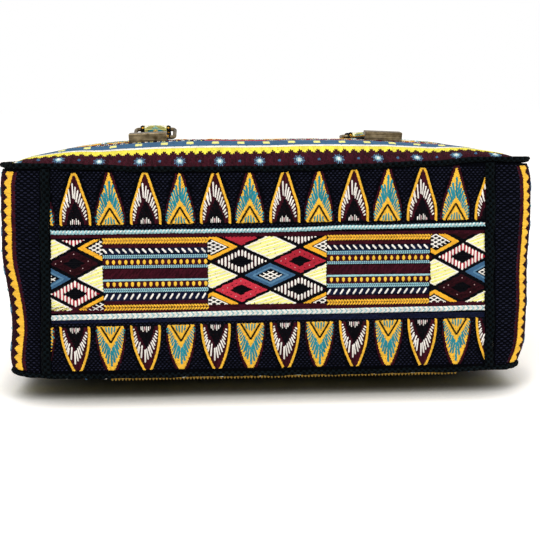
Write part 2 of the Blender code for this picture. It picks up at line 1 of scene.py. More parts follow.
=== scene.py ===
# %% [markdown]
# # An embroidered canvas shoulder bag
# The bag lies on its back panel with its base toward the camera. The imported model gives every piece's place
# in metres. This lesson dresses each soft piece in cloth, thread and tape at real sizes, and gives the metal
# its finish.

import math

import bpy
import numpy as np
from mathutils import Matrix, Vector


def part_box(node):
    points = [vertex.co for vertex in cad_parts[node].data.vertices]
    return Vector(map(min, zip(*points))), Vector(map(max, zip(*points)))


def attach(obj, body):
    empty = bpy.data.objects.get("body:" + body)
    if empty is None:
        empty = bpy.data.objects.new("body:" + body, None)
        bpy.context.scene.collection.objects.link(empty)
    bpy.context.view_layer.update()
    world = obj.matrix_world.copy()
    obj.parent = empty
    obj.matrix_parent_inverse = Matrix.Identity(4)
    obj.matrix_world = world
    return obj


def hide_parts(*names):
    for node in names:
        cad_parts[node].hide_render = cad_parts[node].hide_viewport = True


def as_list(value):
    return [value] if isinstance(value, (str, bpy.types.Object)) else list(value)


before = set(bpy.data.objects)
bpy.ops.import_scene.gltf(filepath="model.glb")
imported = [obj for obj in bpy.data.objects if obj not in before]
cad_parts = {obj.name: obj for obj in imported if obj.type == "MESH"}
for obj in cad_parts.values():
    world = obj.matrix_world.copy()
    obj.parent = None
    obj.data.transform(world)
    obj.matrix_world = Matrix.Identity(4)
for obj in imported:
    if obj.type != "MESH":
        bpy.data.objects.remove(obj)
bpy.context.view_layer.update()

# %% [markdown]
# ## Camera, floor and light
# The photograph looks down on the base by about ten degrees from a little to the left, through a lens of
# about 70 mm on a 36 mm sensor. A camera placed by its own position, pitch, turn and roll is easier to match
# to a photograph than one that tracks a target, because each number moves the picture in one way.

# %% Camera
CAMERA_PLACE = (-0.0427, -0.9198, 0.2197)
CAMERA_PITCH, CAMERA_TURN, CAMERA_ROLL = 10.29, 3.393, -0.121
LENS_MM, SENSOR_MM = 70.0, 36.0

camera = bpy.data.objects.new("camera", bpy.data.cameras.new("camera"))
camera.data.lens = LENS_MM
camera.data.sensor_width = SENSOR_MM
camera.matrix_world = (
    Matrix.Translation(CAMERA_PLACE)
    @ Matrix.Rotation(math.radians(-CAMERA_TURN), 4, "Z")
    @ Matrix.Rotation(math.radians(90 - CAMERA_PITCH), 4, "X")
    @ Matrix.Rotation(math.radians(CAMERA_ROLL), 4, "Z")
)
bpy.context.scene.collection.objects.link(camera)
bpy.context.scene.camera = camera
bpy.context.scene.view_settings.view_transform = "Standard"
print("lens", LENS_MM, "mm, place", CAMERA_PLACE)

# %% [markdown]
# Colours are written as they look on a screen, in sRGB hex, while shaders reckon in linear light, so one
# function turns the first into the second. Others add a node with its settings and links, so that each
# material below reads as a short list of steps.

# %% Colours and nodes
def linear(hex_colour):
    """An sRGB hex colour as linear red, green, blue and alpha."""
    parts = [int(hex_colour[i : i + 2], 16) / 255 for i in (1, 3, 5)]
    return (*[c / 12.92 if c <= 0.04045 else ((c + 0.055) / 1.055) ** 2.4 for c in parts], 1.0)


def feed(tree, node, inputs):
    """Gives each named input of a node its value, or the socket that feeds it."""
    for name, value in inputs.items():
        if isinstance(value, bpy.types.NodeSocket):
            tree.links.new(value, node.inputs[name])
        else:
            node.inputs[name].default_value = value


def add_node(tree, kind, inputs=None, **settings):
    """Adds one shader node with its settings and inputs."""
    made = tree.nodes.new("ShaderNode" + kind)
    for name, value in settings.items():
        setattr(made, name, value)
    feed(tree, made, inputs or {})
    return made


def combine(tree, how, *values):
    """The result of a math node over one or two values."""
    return add_node(tree, "Math", dict(enumerate(values)), operation=how).outputs[0]


def remap(tree, value, start=(0, 1), end=(0, 1)):
    """A value carried from one range to another."""
    made = add_node(tree, "MapRange", {"Value": value, "From Min": start[0], "From Max": start[1],
                                       "To Min": end[0], "To Max": end[1]})
    return made.outputs[0]


def blend(tree, part, low_hex, high_hex):
    """A colour between two others."""
    ends = {0: part, 6: linear(low_hex), 7: linear(high_hex)}
    return add_node(tree, "Mix", ends, data_type="RGBA").outputs[2]


def new_material(name):
    """An empty material, its node tree and its Principled shader."""
    made = bpy.data.materials.new(name)
    made.use_nodes = True
    return made, made.node_tree, made.node_tree.nodes["Principled BSDF"]


print("middle grey is", round(linear("#808080")[0], 3), "in linear light")

# %% [markdown]
# A studio photograph of a dark bag needs light from all round, so that the cloth keeps its colour in its
# folds. The world gives it: pure white to the camera, and a little less to everything that it lights.

# %% Room light
WORLD_LIGHT = 0.72

world = bpy.data.worlds.new("bright_room")
world.use_nodes = True
bpy.context.scene.world = world
ray = add_node(world.node_tree, "LightPath")
strength = remap(world.node_tree, ray.outputs["Is Camera Ray"], end=(WORLD_LIGHT, 1.0))
feed(world.node_tree, world.node_tree.nodes["Background"], {"Color": (1, 1, 1, 1), "Strength": strength})
print("world light", WORLD_LIGHT)

# %% [markdown]
# In the photograph the white paper is burnt out, and only a short, soft shadow is left where the cloth nearly
# touches it. A plain white floor shows a long grey shadow instead. So the camera sees a tone that comes from
# how closed in each spot of the paper is. All other rays meet ordinary matt paper, which lights the bag.

# %% White sweep paper
SWEEP = 6.0
CONTACT_REACH = 0.047
CLOSED, OPEN = 0.14, 0.85
SHADOW_POWER = 1.3
SHADOW_TONE, PAPER_TONE = "#3E3D34", "#E4E2DF"

floor_mesh = bpy.data.meshes.new("floor")
floor_mesh.from_pydata([(a * SWEEP, b * SWEEP, 0) for a, b in ((-1, -1), (1, -1), (1, 1), (-1, 1))],
                       [], [(0, 1, 2, 3)])
floor = bpy.data.objects.new("floor", floor_mesh)
bpy.context.scene.collection.objects.link(floor)
paper, paper_tree, paper_shader = new_material("white_sweep_paper")
feed(paper_tree, paper_shader, {"Base Color": linear("#F3F0EC"), "Roughness": 0.9, "Specular IOR Level": 0.1})
paper_ray = add_node(paper_tree, "LightPath")
toward_bag = add_node(paper_tree, "CombineXYZ", {"Y": 0.6, "Z": 0.8})
contact = add_node(paper_tree, "AmbientOcclusion",
                   {"Distance": CONTACT_REACH, "Normal": toward_bag.outputs[0]}, samples=16)
# Painted shadow: to the camera, the paper darkens toward SHADOW_TONE where the bag closes it in.
painted_shadow_mix = combine(paper_tree, "POWER", remap(paper_tree, contact.outputs["AO"], (CLOSED, OPEN)), SHADOW_POWER)
painted_shadow_paper = add_node(paper_tree, "BsdfDiffuse", {"Color": blend(paper_tree, painted_shadow_mix, SHADOW_TONE, PAPER_TONE)})
brighter = add_node(paper_tree, "AddShader", {0: painted_shadow_paper.outputs[0], 1: painted_shadow_paper.outputs[0]})
chosen = add_node(paper_tree, "MixShader", {0: paper_ray.outputs["Is Camera Ray"], 1: paper_shader.outputs[0],
                                            2: brighter.outputs[0]})
feed(paper_tree, paper_tree.nodes["Material Output"], {"Surface": chosen.outputs[0]})
floor_mesh.materials.append(paper)
print("the shadow reaches", CONTACT_REACH, "m")

# %% [markdown]
# Light from all round is flat. One large lamp above and to the left gives each thread a lit side and a small
# shadow, and a weaker one from the right keeps the far end of the bag from going dull.

# %% Lamps
def soft_lamp(name, place, aim, size, watts):
    """A square lamp that faces a point."""
    lamp = bpy.data.lights.new(name, "AREA")
    lamp.size = size
    lamp.energy = watts
    held = bpy.data.objects.new(name, lamp)
    held.location = place
    held.rotation_euler = (Vector(aim) - Vector(place)).to_track_quat("-Z", "Y").to_euler()
    bpy.context.scene.collection.objects.link(held)
    print(name, "lamp", watts, "W")


BAG_MIDDLE = (0, -0.1, 0.08)
soft_lamp("key", (-0.7, -1.3, 1.5), BAG_MIDDLE, 0.9, 14)
soft_lamp("fill", (1.1, -0.9, 0.9), BAG_MIDDLE, 1.0, 6)

# %% [markdown]
# ## The bag's shape
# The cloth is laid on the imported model's own surfaces: two pillowed panels, a flat base and a strip that runs
# from the base round each lower corner and up the side. Each surface is a function of two lengths on the
# cloth, so the cloth, its stitches and its tapes all ask one function for their place, and always meet.

# %% Sizes, in metres
MM = 0.001
# The base, the bag's height from base to mouth, and the mouth, along Y.
BASE_Y, BAG_HEIGHT, MOUTH_Y = -0.205, 0.275, 0.070
# The back seam's height off the floor, and the bag's depth at both ends.
BACK_SEAM_Z, BASE_DEPTH, MOUTH_DEPTH = 0.0178, 0.1455, 0.126
CORNER_X, CORNER_RADIUS, HALF_WIDTH = 0.164, 0.016, 0.180
BASE_SEAM_X, BASE_SEAM_LEAN = 0.152, 0.0045
# How far the cloth of each face swells out.
FRONT_PILLOW, BACK_PILLOW, SIDE_PILLOW = 0.017, 0.011, 0.005
CANVAS, LINING, GAP, BOARD = 0.0016, 0.0008, 0.0003, 0.0025
# How far each cloth stops short of its seam line.
PANEL_INSET, STRIP_INSET, LINING_INSET = 0.00128, 0.0019, 0.0021
SIDE_LOW_Z = BACK_SEAM_Z + STRIP_INSET
SEAM_TOP_Z = BACK_SEAM_Z + BASE_DEPTH
BASE_HIGH_Z = SEAM_TOP_Z - STRIP_INSET
HALF_SEAM = 0.0023 + GAP
ANCHOR_Y, HINGE_Y, STRAP_X, STRAP_WIDTH, PLY = -0.157, -0.059, 0.085, 0.025, 0.0014


def share(value):
    """A value held between 0 and 1."""
    return np.clip(value, 0.0, 1.0)


def ease(value):
    """From 0 to 1 with soft ends."""
    value = share(value)
    return value * value * (3 - 2 * value)


def rise(value):
    """From 0 to 1, steep at first, as cloth leaves its seam."""
    return 1 - (1 - share(value)) ** 2.2


print("depth at the base", BASE_DEPTH, "depth at the mouth", MOUTH_DEPTH)

# %% [markdown]
# A sewn bag has no flat faces: each panel swells between its seams, quickly at the base and less toward the
# open mouth. The front panel also keeps a stiff shoulder near each lower corner, where the layers meet.

# %% Faces of the bag
def up_bag(y):
    """A place along the bag as a share from base to mouth."""
    return share((y - BASE_Y) / BAG_HEIGHT)


def half_width(y, inset=0.0):
    """Half the bag's width, with its round lower corners."""
    into = CORNER_RADIUS - np.clip(y - BASE_Y, 0.0, CORNER_RADIUS)
    return CORNER_X + np.sqrt(np.maximum((CORNER_RADIUS - inset) ** 2 - into**2, 0.0))


def seam_z(y):
    """Height of the front seam."""
    return BACK_SEAM_Z + BASE_DEPTH + (MOUTH_DEPTH - BASE_DEPTH) * up_bag(y)


def base_seam_x(z):
    """The base seams lean outward toward the back."""
    return BASE_SEAM_X + BASE_SEAM_LEAN * (1 - share((z - SIDE_LOW_Z) / (BASE_HIGH_Z - SIDE_LOW_Z)))


def front_z(x, y):
    """Height of the front panel's cloth."""
    up = up_bag(y)
    power = 2.7 + 3.0 * ease(up / 0.45)
    across = 1 - share(np.abs(x) / half_width(y)) ** power
    along = rise(up / 0.22) * (1 - 0.5 * ease((up - 0.6) / 0.4))
    corner = ease((np.abs(x) - 0.112) / 0.03) * ease((half_width(y) - np.abs(x)) / 0.016)
    shoulder = 0.0024 * corner * ease(up / 0.035) * (1 - ease((up - 0.08) / 0.2))
    return seam_z(y) + FRONT_PILLOW * across * along + shoulder


def back_z(x, y):
    """Height of the back panel's cloth, which hangs below its seam."""
    across = rise((1 - np.abs(x) / half_width(y)) / 0.30)
    return BACK_SEAM_Z - BACK_PILLOW * across * rise(up_bag(y) / 0.16)


def side_swell(y, z):
    """How far a gusset's cloth swells outward."""
    up = share((z - SIDE_LOW_Z) / (seam_z(y) - STRIP_INSET - SIDE_LOW_Z))
    return SIDE_PILLOW * 4 * up * (1 - up) * ease((y - BASE_Y) / 0.11)


def slopes(surface, x, y, step):
    """How steeply a panel rises along x and along y."""
    return ((surface(x + step, y) - surface(x - step, y)) / (2 * step),
            (surface(x, y + step) - surface(x, y - step)) / (2 * step))


print("front panel's highest cloth", round(float(front_z(np.zeros(1), np.array([-0.08]))[0]), 4))

# %% [markdown]
# Real cloth is never quite true: the front seam droops in the middle, and the sides belly out between their
# seams. Every soft piece is moved by the same small tables, so that seams stay closed. Smooth random waves
# then give each cloth its own shallow ripples.

# %% Slump and ripples
class Waves:
    """Smooth random heights on a square lattice, from -1 to 1, the same each run."""

    def __init__(self, seed):
        self.lattice = np.random.default_rng(seed).uniform(-1, 1, (64, 64))

    def __call__(self, a, b):
        a, b = np.asarray(a, float), np.asarray(b, float)
        i, j = np.floor(a).astype(int), np.floor(b).astype(int)
        s, t = a - i, b - j
        s, t = s * s * (3 - 2 * s), t * t * (3 - 2 * t)
        grid = self.lattice
        i0, i1, j0, j1 = i % 64, (i + 1) % 64, j % 64, (j + 1) % 64
        low = grid[i0, j0] * (1 - s) + grid[i1, j0] * s
        high = grid[i0, j1] * (1 - s) + grid[i1, j1] * s
        return low * (1 - t) + high * t


waves = Waves(11)
# Millimetres down of the front seam, by millimetres across the bag.
DROOP = ((-177, 0.6), (-151, 1.1), (-121, 2.4), (-81, 3.5), (-41, 4.1), (0, 4.0), (40, 3.1), (75, 2.1), (109, 1.1),
         (144, -1.3), (175, -1.0))
# Millimetres up of the back seam's ends, by millimetres across the bag.
CURL = ((-180, 0.8), (-166, -0.6), (-150, -1.9), (-120, -2.2), (0, -2.2), (130, -2.0), (152, -1.3),
        (166, -0.9), (180, -1.0))
# Millimetres that each side leans out at the base, by millimetres of height.
LEFT_BELLY = ((13, 0.6), (20, 3.0), (28, 4.2), (40, 2.4), (50, 1.0), (64, 1.6), (73, 2.8), (84, 4.6), (94, 6.6),
              (105, 7.3), (117, 6.6), (130, 6.8), (138, 6.2), (154, 5.8), (160, 3.2), (170, 1.0))
RIGHT_BELLY = ((13, -1.4), (20, 0.4), (28, 4.4), (34, 6.2), (40, 6.2), (53, 6.2), (66, 6.8), (80, 6.2), (92, 5.8),
               (102, 6.4), (115, 6.8), (125, 7.2), (143, 6.6), (155, 5.4), (160, 2.0), (165, 0.4), (170, 0.2))


def along_table(table, at):
    """A smooth reading of a table of millimetres, in metres."""
    places, values = np.array(table).T * MM
    return sum(np.interp(at + shift * 4 * MM, places, values) for shift in (-1, 0, 1)) / 3


def settle(points, droops=True):
    """Moves points of soft pieces by the bag's slump. The base asks for its own edges, so it doesn't droop."""
    x, y, z = points.T
    moved = points.copy()
    from_base = np.maximum(y - BASE_Y, 0)
    belly = np.where(x < 0, along_table(LEFT_BELLY, z), along_table(RIGHT_BELLY, z))
    outward = ease((np.abs(x) - 0.156) / 0.015)
    moved[:, 0] += np.sign(x) * outward * belly * np.exp(-from_base / 0.055)
    near = ease(1 - from_base / 0.045)
    if droops:
        moved[:, 2] -= along_table(DROOP, x) * near * share(z / SEAM_TOP_Z) ** 4
        moved[:, 2] += along_table(CURL, x) * near * ease(1 - (z - BACK_SEAM_Z) / 0.03) * share(z / BACK_SEAM_Z)
    return moved


def ripple(a, b, seed_shift=0.0):
    """Shallow ripples of a cloth, in metres."""
    broad = waves(a / 0.034 + 7.3 + seed_shift, b / 0.029 + 3.1)
    fine = waves(a / 0.009 + 20.7, b / 0.011 + 9.9 + seed_shift)
    return 0.00045 * broad + 0.00012 * fine


print("front seam droops by", max(mm for _, mm in DROOP), "mm")

# %% [markdown]
# ### Places on the cloth
# Each function below turns two lengths on a cloth, and a height off it, into a place in space. Cloth bends
# but hardly stretches, so a stitch drawn on the flat cut keeps its size wherever the cloth carries it.

# %% Where each cloth lies
def on_panel(surface, facing):
    """Place of cloth points (x, y) at a height off the front or back panel."""

    def place(x, y, height):
        step = 0.0004
        limit = half_width(y) - 2 * step
        slope_x, slope_y = slopes(surface, np.clip(x, -limit, limit), y, step)
        away = np.stack([-slope_x, -slope_y, np.ones_like(x)], 1) * facing
        away /= np.linalg.norm(away, axis=1)[:, None]
        edge = share((half_width(y) - np.abs(x)) / 0.02) * share((y - BASE_Y) / 0.02)
        lift = height + ripple(x, y, facing) * edge * (1.0 if facing > 0 else 0.35)
        return settle(np.stack([x, y, surface(x, y)], 1) + away * lift[:, None])

    return place


def base_low(x):
    """Lower edge of the base cloth, which follows the back seam's curl."""
    return SIDE_LOW_Z + along_table(CURL, x)


def base_high(x):
    """Upper edge of the base cloth, which follows the front seam's droop."""
    return BASE_HIGH_Z + 0.0006 - along_table(DROOP, x)


def on_base(x, z, height):
    """Place of cloth points (x, z) at a height off the base."""
    edge = (share((base_seam_x(z) - np.abs(x)) / 0.02) * share((z - base_low(x)) / 0.015)
            * share((base_high(x) - z) / 0.015))
    lift = height + ripple(x, z) * edge
    return settle(np.stack([x, BASE_Y - lift, z], 1), droops=False)


CORNER_RUN = CORNER_RADIUS * math.pi / 2


def strip_line(run):
    """Place (x, y) and outward direction of the strip, at a run from x = 0 on the base."""
    angle = np.clip((run - CORNER_X) / CORNER_RADIUS, 0, math.pi / 2)
    x = np.minimum(run, CORNER_X) + CORNER_RADIUS * np.sin(angle)
    y = BASE_Y + CORNER_RADIUS * (1 - np.cos(angle)) + np.maximum(run - CORNER_X - CORNER_RUN, 0)
    return x, y, np.sin(angle), -np.cos(angle)


def on_gusset(side):
    """Place of cloth points (run along the strip, z) at a height off a side gusset."""

    def place(run, z, height):
        x, y, out_x, out_y = strip_line(run)
        edge = share((z - SIDE_LOW_Z) / 0.015) * share((seam_z(y) - z) / 0.015)
        lift = height + side_swell(y, z) + ripple(run, z, 4.0 * side) * edge
        return settle(np.stack([side * (x + out_x * lift), y + out_y * lift, z], 1))

    return place


on_front = on_panel(front_z, 1)
on_back = on_panel(back_z, -1)
STRIP_START = BASE_SEAM_X + HALF_SEAM
STRIP_END = CORNER_X + CORNER_RUN + BAG_HEIGHT - CORNER_RADIUS
print("strip from", round(STRIP_START, 4), "to", round(STRIP_END, 4))

# %% [markdown]
# ### Cloth as a closed sheet
# A cloth could be one face with a thickness modifier, but making both faces and the rim at once keeps the
# inner face on the same curves. Each point remembers its place on the flat cloth, which the weave reads, and
# a UV map named OFBake spreads the piece flat, so that its colours can be kept as a picture.

# %% Mesh helpers
def new_piece(name, points, faces, materials, slots=None, attributes=None):
    """An object with a smooth mesh, its materials and a vector for each point by name."""
    mesh = bpy.data.meshes.new(name)
    mesh.from_pydata(np.asarray(points).tolist(), [], faces)
    for look in materials:
        mesh.materials.append(look)
    if slots is not None:
        mesh.polygons.foreach_set("material_index", np.asarray(slots, np.int32))
    for word, values in (attributes or {}).items():
        layer = mesh.attributes.new(word, "FLOAT_VECTOR", "POINT")
        layer.data.foreach_set("vector", np.asarray(values, np.float32).ravel())
    mesh.shade_smooth()
    piece = bpy.data.objects.new(name, mesh)
    bpy.context.scene.collection.objects.link(piece)
    return piece


def bake_map(piece, corners):
    """A UV map named OFBake, from one (u, v) for each corner of each face."""
    layer = piece.data.uv_layers.new(name="OFBake")
    layer.data.foreach_set("uv", np.asarray(corners, np.float32).ravel())


def cloth_map(columns, rows, faces, rim, after):
    """The OFBake map of a closed sheet: its outer face on the left, its inner face on the right."""
    share_u, share_v = np.meshgrid(np.linspace(0.02, 0.48, columns), np.linspace(0.02, 0.98, rows))
    outer = np.stack([share_u.ravel(), share_v.ravel()], 1)
    corners = np.concatenate([outer, outer + [0.5, 0]])[faces]
    beside = (outer[rim] - [0.25, 0.5]) * 0.02
    corners[-len(rim):, 1] = outer[rim] + beside
    corners[-len(rim):, 2] = outer[after] + np.roll(beside, -1, 0)
    return corners


def cloth(name, along, up, place, thickness, look, flip=False):
    """A closed sheet of cloth over a grid of cloth lengths: an outer face, an inner face and their rims."""
    rows, columns = along.shape
    flat_a, flat_b = along.ravel(), up.ravel()
    outer = place(flat_a, flat_b, np.zeros_like(flat_a))
    inner = place(flat_a, flat_b, np.full_like(flat_a, -thickness))
    index = np.arange(rows * columns).reshape(rows, columns)
    a, b, c, d = index[:-1, :-1], index[:-1, 1:], index[1:, 1:], index[1:, :-1]
    top = np.stack([a, b, c, d], -1).reshape(-1, 4)
    low = top[:, ::-1] + rows * columns
    rim = np.concatenate([index[0], index[1:, -1], index[-1, -2::-1], index[-2:0:-1, 0]])
    after = np.roll(rim, -1)
    wall = np.stack([rim, rim + rows * columns, after + rows * columns, after], -1)
    faces = np.concatenate([top, low, wall])
    corners = cloth_map(columns, rows, faces, rim, after)
    if flip:
        faces, corners = faces[:, ::-1], corners[:, ::-1]
    flat = np.stack([flat_a, flat_b, np.zeros_like(flat_a)], 1)
    piece = new_piece(name, np.concatenate([outer, inner]), faces.tolist(), [look],
                      attributes={"cloth": np.concatenate([flat, flat])})
    bake_map(piece, corners.reshape(-1, 2))
    print(name, rows, "x", columns, "points a face")
    return piece


# %% [markdown]
# ## Thread and cloth finishes
# The embroidery thread is mercerised cotton, smoother than the canvas, with a little shine along its twist.
# Each dye is its own material, made by one function.

# %% Dyed thread
# The navy dye is sewn only as the canvas's floats and is lighter than the canvas: painted highlight on the weave.
DYES = {
    "navy": "#1E2031", "ink": "#07070C", "burgundy": "#3A0E1A", "wine": "#2B0B12", "amber": "#FFC63A",
    "lemon": "#FBEC4A", "cream": "#F8F3EA", "straw": "#FAF592", "teal": "#1F8998", "crimson": "#B21C31",
    "scarlet": "#CC2C40", "slate": "#3A6488", "steel": "#5E8AAA", "sky": "#A4D2D8", "marigold": "#FAB72A",
    "rose": "#DDB6B6", "indigo": "#10162E", "ochre": "#B28C36",
}
DARK_DYES = ("navy", "ink", "burgundy", "wine", "indigo")
DYE_INDEX = {name: i for i, name in enumerate(DYES)}
TWIST_PITCH = 0.00045


def dyed_thread(name, hex_colour):
    """Mercerised cotton thread of one dye: a fine twist along each strand and small shade changes."""
    made, tree, shader = new_material(name + "_cotton_thread")
    strand = add_node(tree, "Attribute", attribute_name="strand")
    parts = add_node(tree, "SeparateXYZ", {0: strand.outputs["Vector"]})
    dark = name in DARK_DYES
    shade = remap(tree, parts.outputs["Z"], end=(0.6, 1.4) if dark else (0.86, 1.14))
    dye = add_node(tree, "HueSaturation", {"Value": shade, "Color": linear(hex_colour)})
    slanted = combine(tree, "ADD", parts.outputs["X"], parts.outputs["Y"])
    plies = combine(tree, "SINE", combine(tree, "MULTIPLY", slanted, 2 * math.pi / TWIST_PITCH))
    bump = add_node(tree, "Bump", {"Height": plies, "Strength": 0.35, "Distance": 0.00012})
    feed(tree, shader, {"Base Color": dye.outputs[0], "Normal": bump.outputs[0],
                        "Roughness": 0.8 if dark else 0.62, "Specular IOR Level": 0.06 if dark else 0.22,
                        "Sheen Weight": 0.02 if dark else 0.08, "Sheen Roughness": 0.4})
    return made


THREADS = [dyed_thread(name, colour) for name, colour in DYES.items()]
print("dyes:", len(THREADS))

# %% [markdown]
# A plain weave is two waves that cross: where their product is positive, one set of threads lies on top, and
# elsewhere the other. The same product gives the bump. Threads as fine as real ones would blur at this
# distance, so the canvas and the tape are drawn coarser. Cotton is rough and nearly without gloss: the navy
# canvas drinks light, the tape is black with a greyer weft that is painted highlight, the twill is paler, and
# the strap is a brown black.

# %% Woven cloths
def woven(name, warp_hex, weft_hex, pitch, roughness, relief, specular=0.06, sheen=0.02, uneven=0.25):
    """A plain weave: two sets of threads that pass over and under each other, by the cloth's own lengths."""
    made, tree, shader = new_material(name)
    flat = add_node(tree, "Attribute", attribute_name="cloth")
    scaled = add_node(tree, "VectorMath", {0: flat.outputs["Vector"], "Scale": math.pi / pitch}, operation="SCALE")
    parts = add_node(tree, "SeparateXYZ", {0: scaled.outputs[0]})
    warp, weft = (combine(tree, "SINE", parts.outputs[axis]) for axis in "XY")
    over = combine(tree, "MULTIPLY", warp, weft)
    patch = add_node(tree, "TexNoise", {"Vector": flat.outputs["Vector"], "Scale": 60.0, "Detail": 3.0})
    colour = blend(tree, remap(tree, over, (-0.4, 0.4)), warp_hex, weft_hex)
    shade = remap(tree, patch.outputs["Fac"], end=(1 - uneven, 1 + uneven))
    dyed = add_node(tree, "HueSaturation", {"Value": shade, "Color": colour})
    crests = combine(tree, "ABSOLUTE", over)
    bump = add_node(tree, "Bump", {"Height": crests, "Strength": 0.8, "Distance": relief})
    feed(tree, shader, {"Base Color": dyed.outputs[0], "Normal": bump.outputs[0], "Roughness": roughness,
                        "Specular IOR Level": specular, "Sheen Weight": sheen})
    return made


navy_canvas = woven("navy_cotton_canvas", "#020306", "#080910", 0.0012, 0.9, 0.0004, specular=0.015, sheen=0.01)
# The tape is black: its greyer weft is painted highlight, the glints on its weave.
binding_tape = woven("black_binding_tape", "#010202", "#0D1519", 0.0021, 0.85, 0.0009, specular=0.03, sheen=0.01,
                     uneven=0.6)
lining_twill = woven("navy_lining_twill", "#262C3C", "#333A4D", 0.0006, 0.75, 0.0001)
strap_canvas = woven("ink_strap_canvas", "#0C0C10", "#1A1712", 0.0008, 0.8, 0.0002)
print("cloths:", [look.name for look in (navy_canvas, binding_tape, lining_twill, strap_canvas)])

# %% [markdown]
# ## Embroidery
# The ornament is traditional needlework of leaves, lozenges, saw teeth and twisted cords. A shader could draw
# it, but the photograph shows every stitch raised, with its own light and shadow, so each is a tiny ridge of
# eight triangles. Points on the cloth are complex numbers, along + 1j * up, which one multiplication turns.

# %% The needle
def ring_of(points):
    """Points of a line or an outline, as one array of complex numbers."""
    return np.asarray(points, complex)


class Needlework:
    """Collects stitches on one flat cloth, then lays them on its surface as one mesh."""

    def __init__(self, seed, thread=0.9 * MM):
        self.random = np.random.default_rng(seed)
        self.rows = []
        self.thread = thread
        self.turn(1.0)

    def turn(self, quarter, mirror=False):
        """Turns, and may mirror, all that follows."""
        self.quarter, self.mirror = quarter, mirror

    def at(self, point):
        """A drawn point's place on the flat cloth."""
        return self.quarter * (np.conj(point) if self.mirror else point)

    def stitch(self, start, end, dye, width=None, lift=0.0, height=0.42):
        """One stitch. Its height is a share of its width, and lift raises it over what lies below."""
        width = width or self.thread
        start, end = self.at(start), self.at(end)
        self.rows.append((start.real, start.imag, end.real, end.imag, width, width * height, lift, DYE_INDEX[dye]))

    def fill(self, contours, dye, toward=1j, width=None, longest=None, lift=0.0, slack=0.15, thread=None, height=0.3):
        """Fills outlines with rows of stitches that run one way. Inner outlines are left open."""
        width = width or self.thread
        longest = longest or width * 4.5
        toward = toward / abs(toward)
        starts = np.concatenate([ring_of(c) * np.conj(toward) for c in contours])
        ends = np.concatenate([np.roll(ring_of(c), -1) * np.conj(toward) for c in contours])
        low, high = starts.imag.min(), starts.imag.max()
        for row in range(math.floor(low / width), math.ceil(high / width) + 1):
            level = (row + 0.5) * width
            crossing = (starts.imag <= level) != (ends.imag <= level)
            a, b = starts[crossing], ends[crossing]
            cuts = np.sort(a.real + (level - a.imag) * (b.real - a.real) / (b.imag - a.imag))
            for left, right in zip(cuts[::2], cuts[1::2]):
                if right - left < 0.4 * width:
                    continue
                shift = (row % 3) / 3 * longest
                inner = np.arange(math.ceil((left - shift) / longest), math.floor((right - shift) / longest) + 1)
                marks = inner * longest + shift
                marks = marks[(marks > left + 0.3 * longest) & (marks < right - 0.3 * longest)]
                stops = [left, *marks, right]
                for one, two in zip(stops, stops[1:]):
                    wobble = self.random.uniform(-slack, slack, 2) * width
                    before, after = (0.05 if edge in (left, right) else 0.4 for edge in (one, two))
                    self.stitch((one + wobble[0] - before * width + 1j * level) * toward,
                                (two + wobble[1] + after * width + 1j * level) * toward,
                                dye, thread or 1.4 * width, lift, height)

    def satin(self, path, dyes, across, slant=60.0, pitch=None, lift=0.0, height=0.42, cover=1.15):
        """Satin stitches side by side across a path. Several dyes take turns."""
        path = ring_of(path)
        pitch = pitch or self.thread
        dyes = [dyes] if isinstance(dyes, str) else dyes
        steps = np.abs(np.diff(path))
        run = np.concatenate([[0], np.cumsum(steps)])
        count = max(int(run[-1] / pitch), 1)
        at = (np.arange(count) + 0.5) * run[-1] / count
        points = np.interp(at, run, path.real) + 1j * np.interp(at, run, path.imag)
        which = np.clip(np.searchsorted(run, at) - 1, 0, len(steps) - 1)
        heading = np.diff(path)[which] / np.maximum(steps[which], 1e-9)
        lean = np.exp(1j * math.radians(slant))
        half = across / 2 / math.sin(math.radians(slant))
        for i, (point, ahead) in enumerate(zip(points, heading)):
            reach = ahead * lean * half * self.random.uniform(0.92, 1.08)
            self.stitch(point - reach, point + reach, dyes[i % len(dyes)], pitch * cover, lift, height)


print("thread", Needlework(0).thread / MM, "mm wide")

# %% [markdown]
# Needlework ends where its cloth ends. On the flat cloth that is a cut at straight lines: each stitch keeps
# the share of its length that lies inside every edge.

# %% Cut stitches
def bounded(rows, outline):
    """Cuts stitches at a convex outline, given anticlockwise, and drops what is left too short."""
    start, end = rows[:, 0] + 1j * rows[:, 1], rows[:, 2] + 1j * rows[:, 3]
    enter, leave = np.zeros(len(rows)), np.ones(len(rows))
    outline = ring_of(outline)
    for a, b in zip(outline, np.roll(outline, -1)):
        inward = 1j * (b - a)
        inward /= abs(inward)
        depth_start = ((start - a) * np.conj(inward)).real
        depth_end = ((end - a) * np.conj(inward)).real
        change = depth_end - depth_start
        safe = np.where(np.abs(change) < 1e-12, 1e-12, change)
        cross = -depth_start / safe
        enter = np.where(change > 1e-12, np.maximum(enter, cross), enter)
        leave = np.where(change < -1e-12, np.minimum(leave, cross), leave)
        leave = np.where((np.abs(change) <= 1e-12) & (depth_start < 0), -1.0, leave)
    return cut_stitches(rows, enter, leave)


def cut_stitches(rows, enter, leave):
    """Keeps each stitch only between two shares of its own length."""
    start, end = rows[:, 0] + 1j * rows[:, 1], rows[:, 2] + 1j * rows[:, 3]
    kept = (leave - enter) * np.abs(end - start) > SHORTEST
    new_start = start + (end - start) * enter
    new_end = start + (end - start) * leave
    out = rows.copy()
    out[:, 0], out[:, 1], out[:, 2], out[:, 3] = new_start.real, new_start.imag, new_end.real, new_end.imag
    return out[kept]


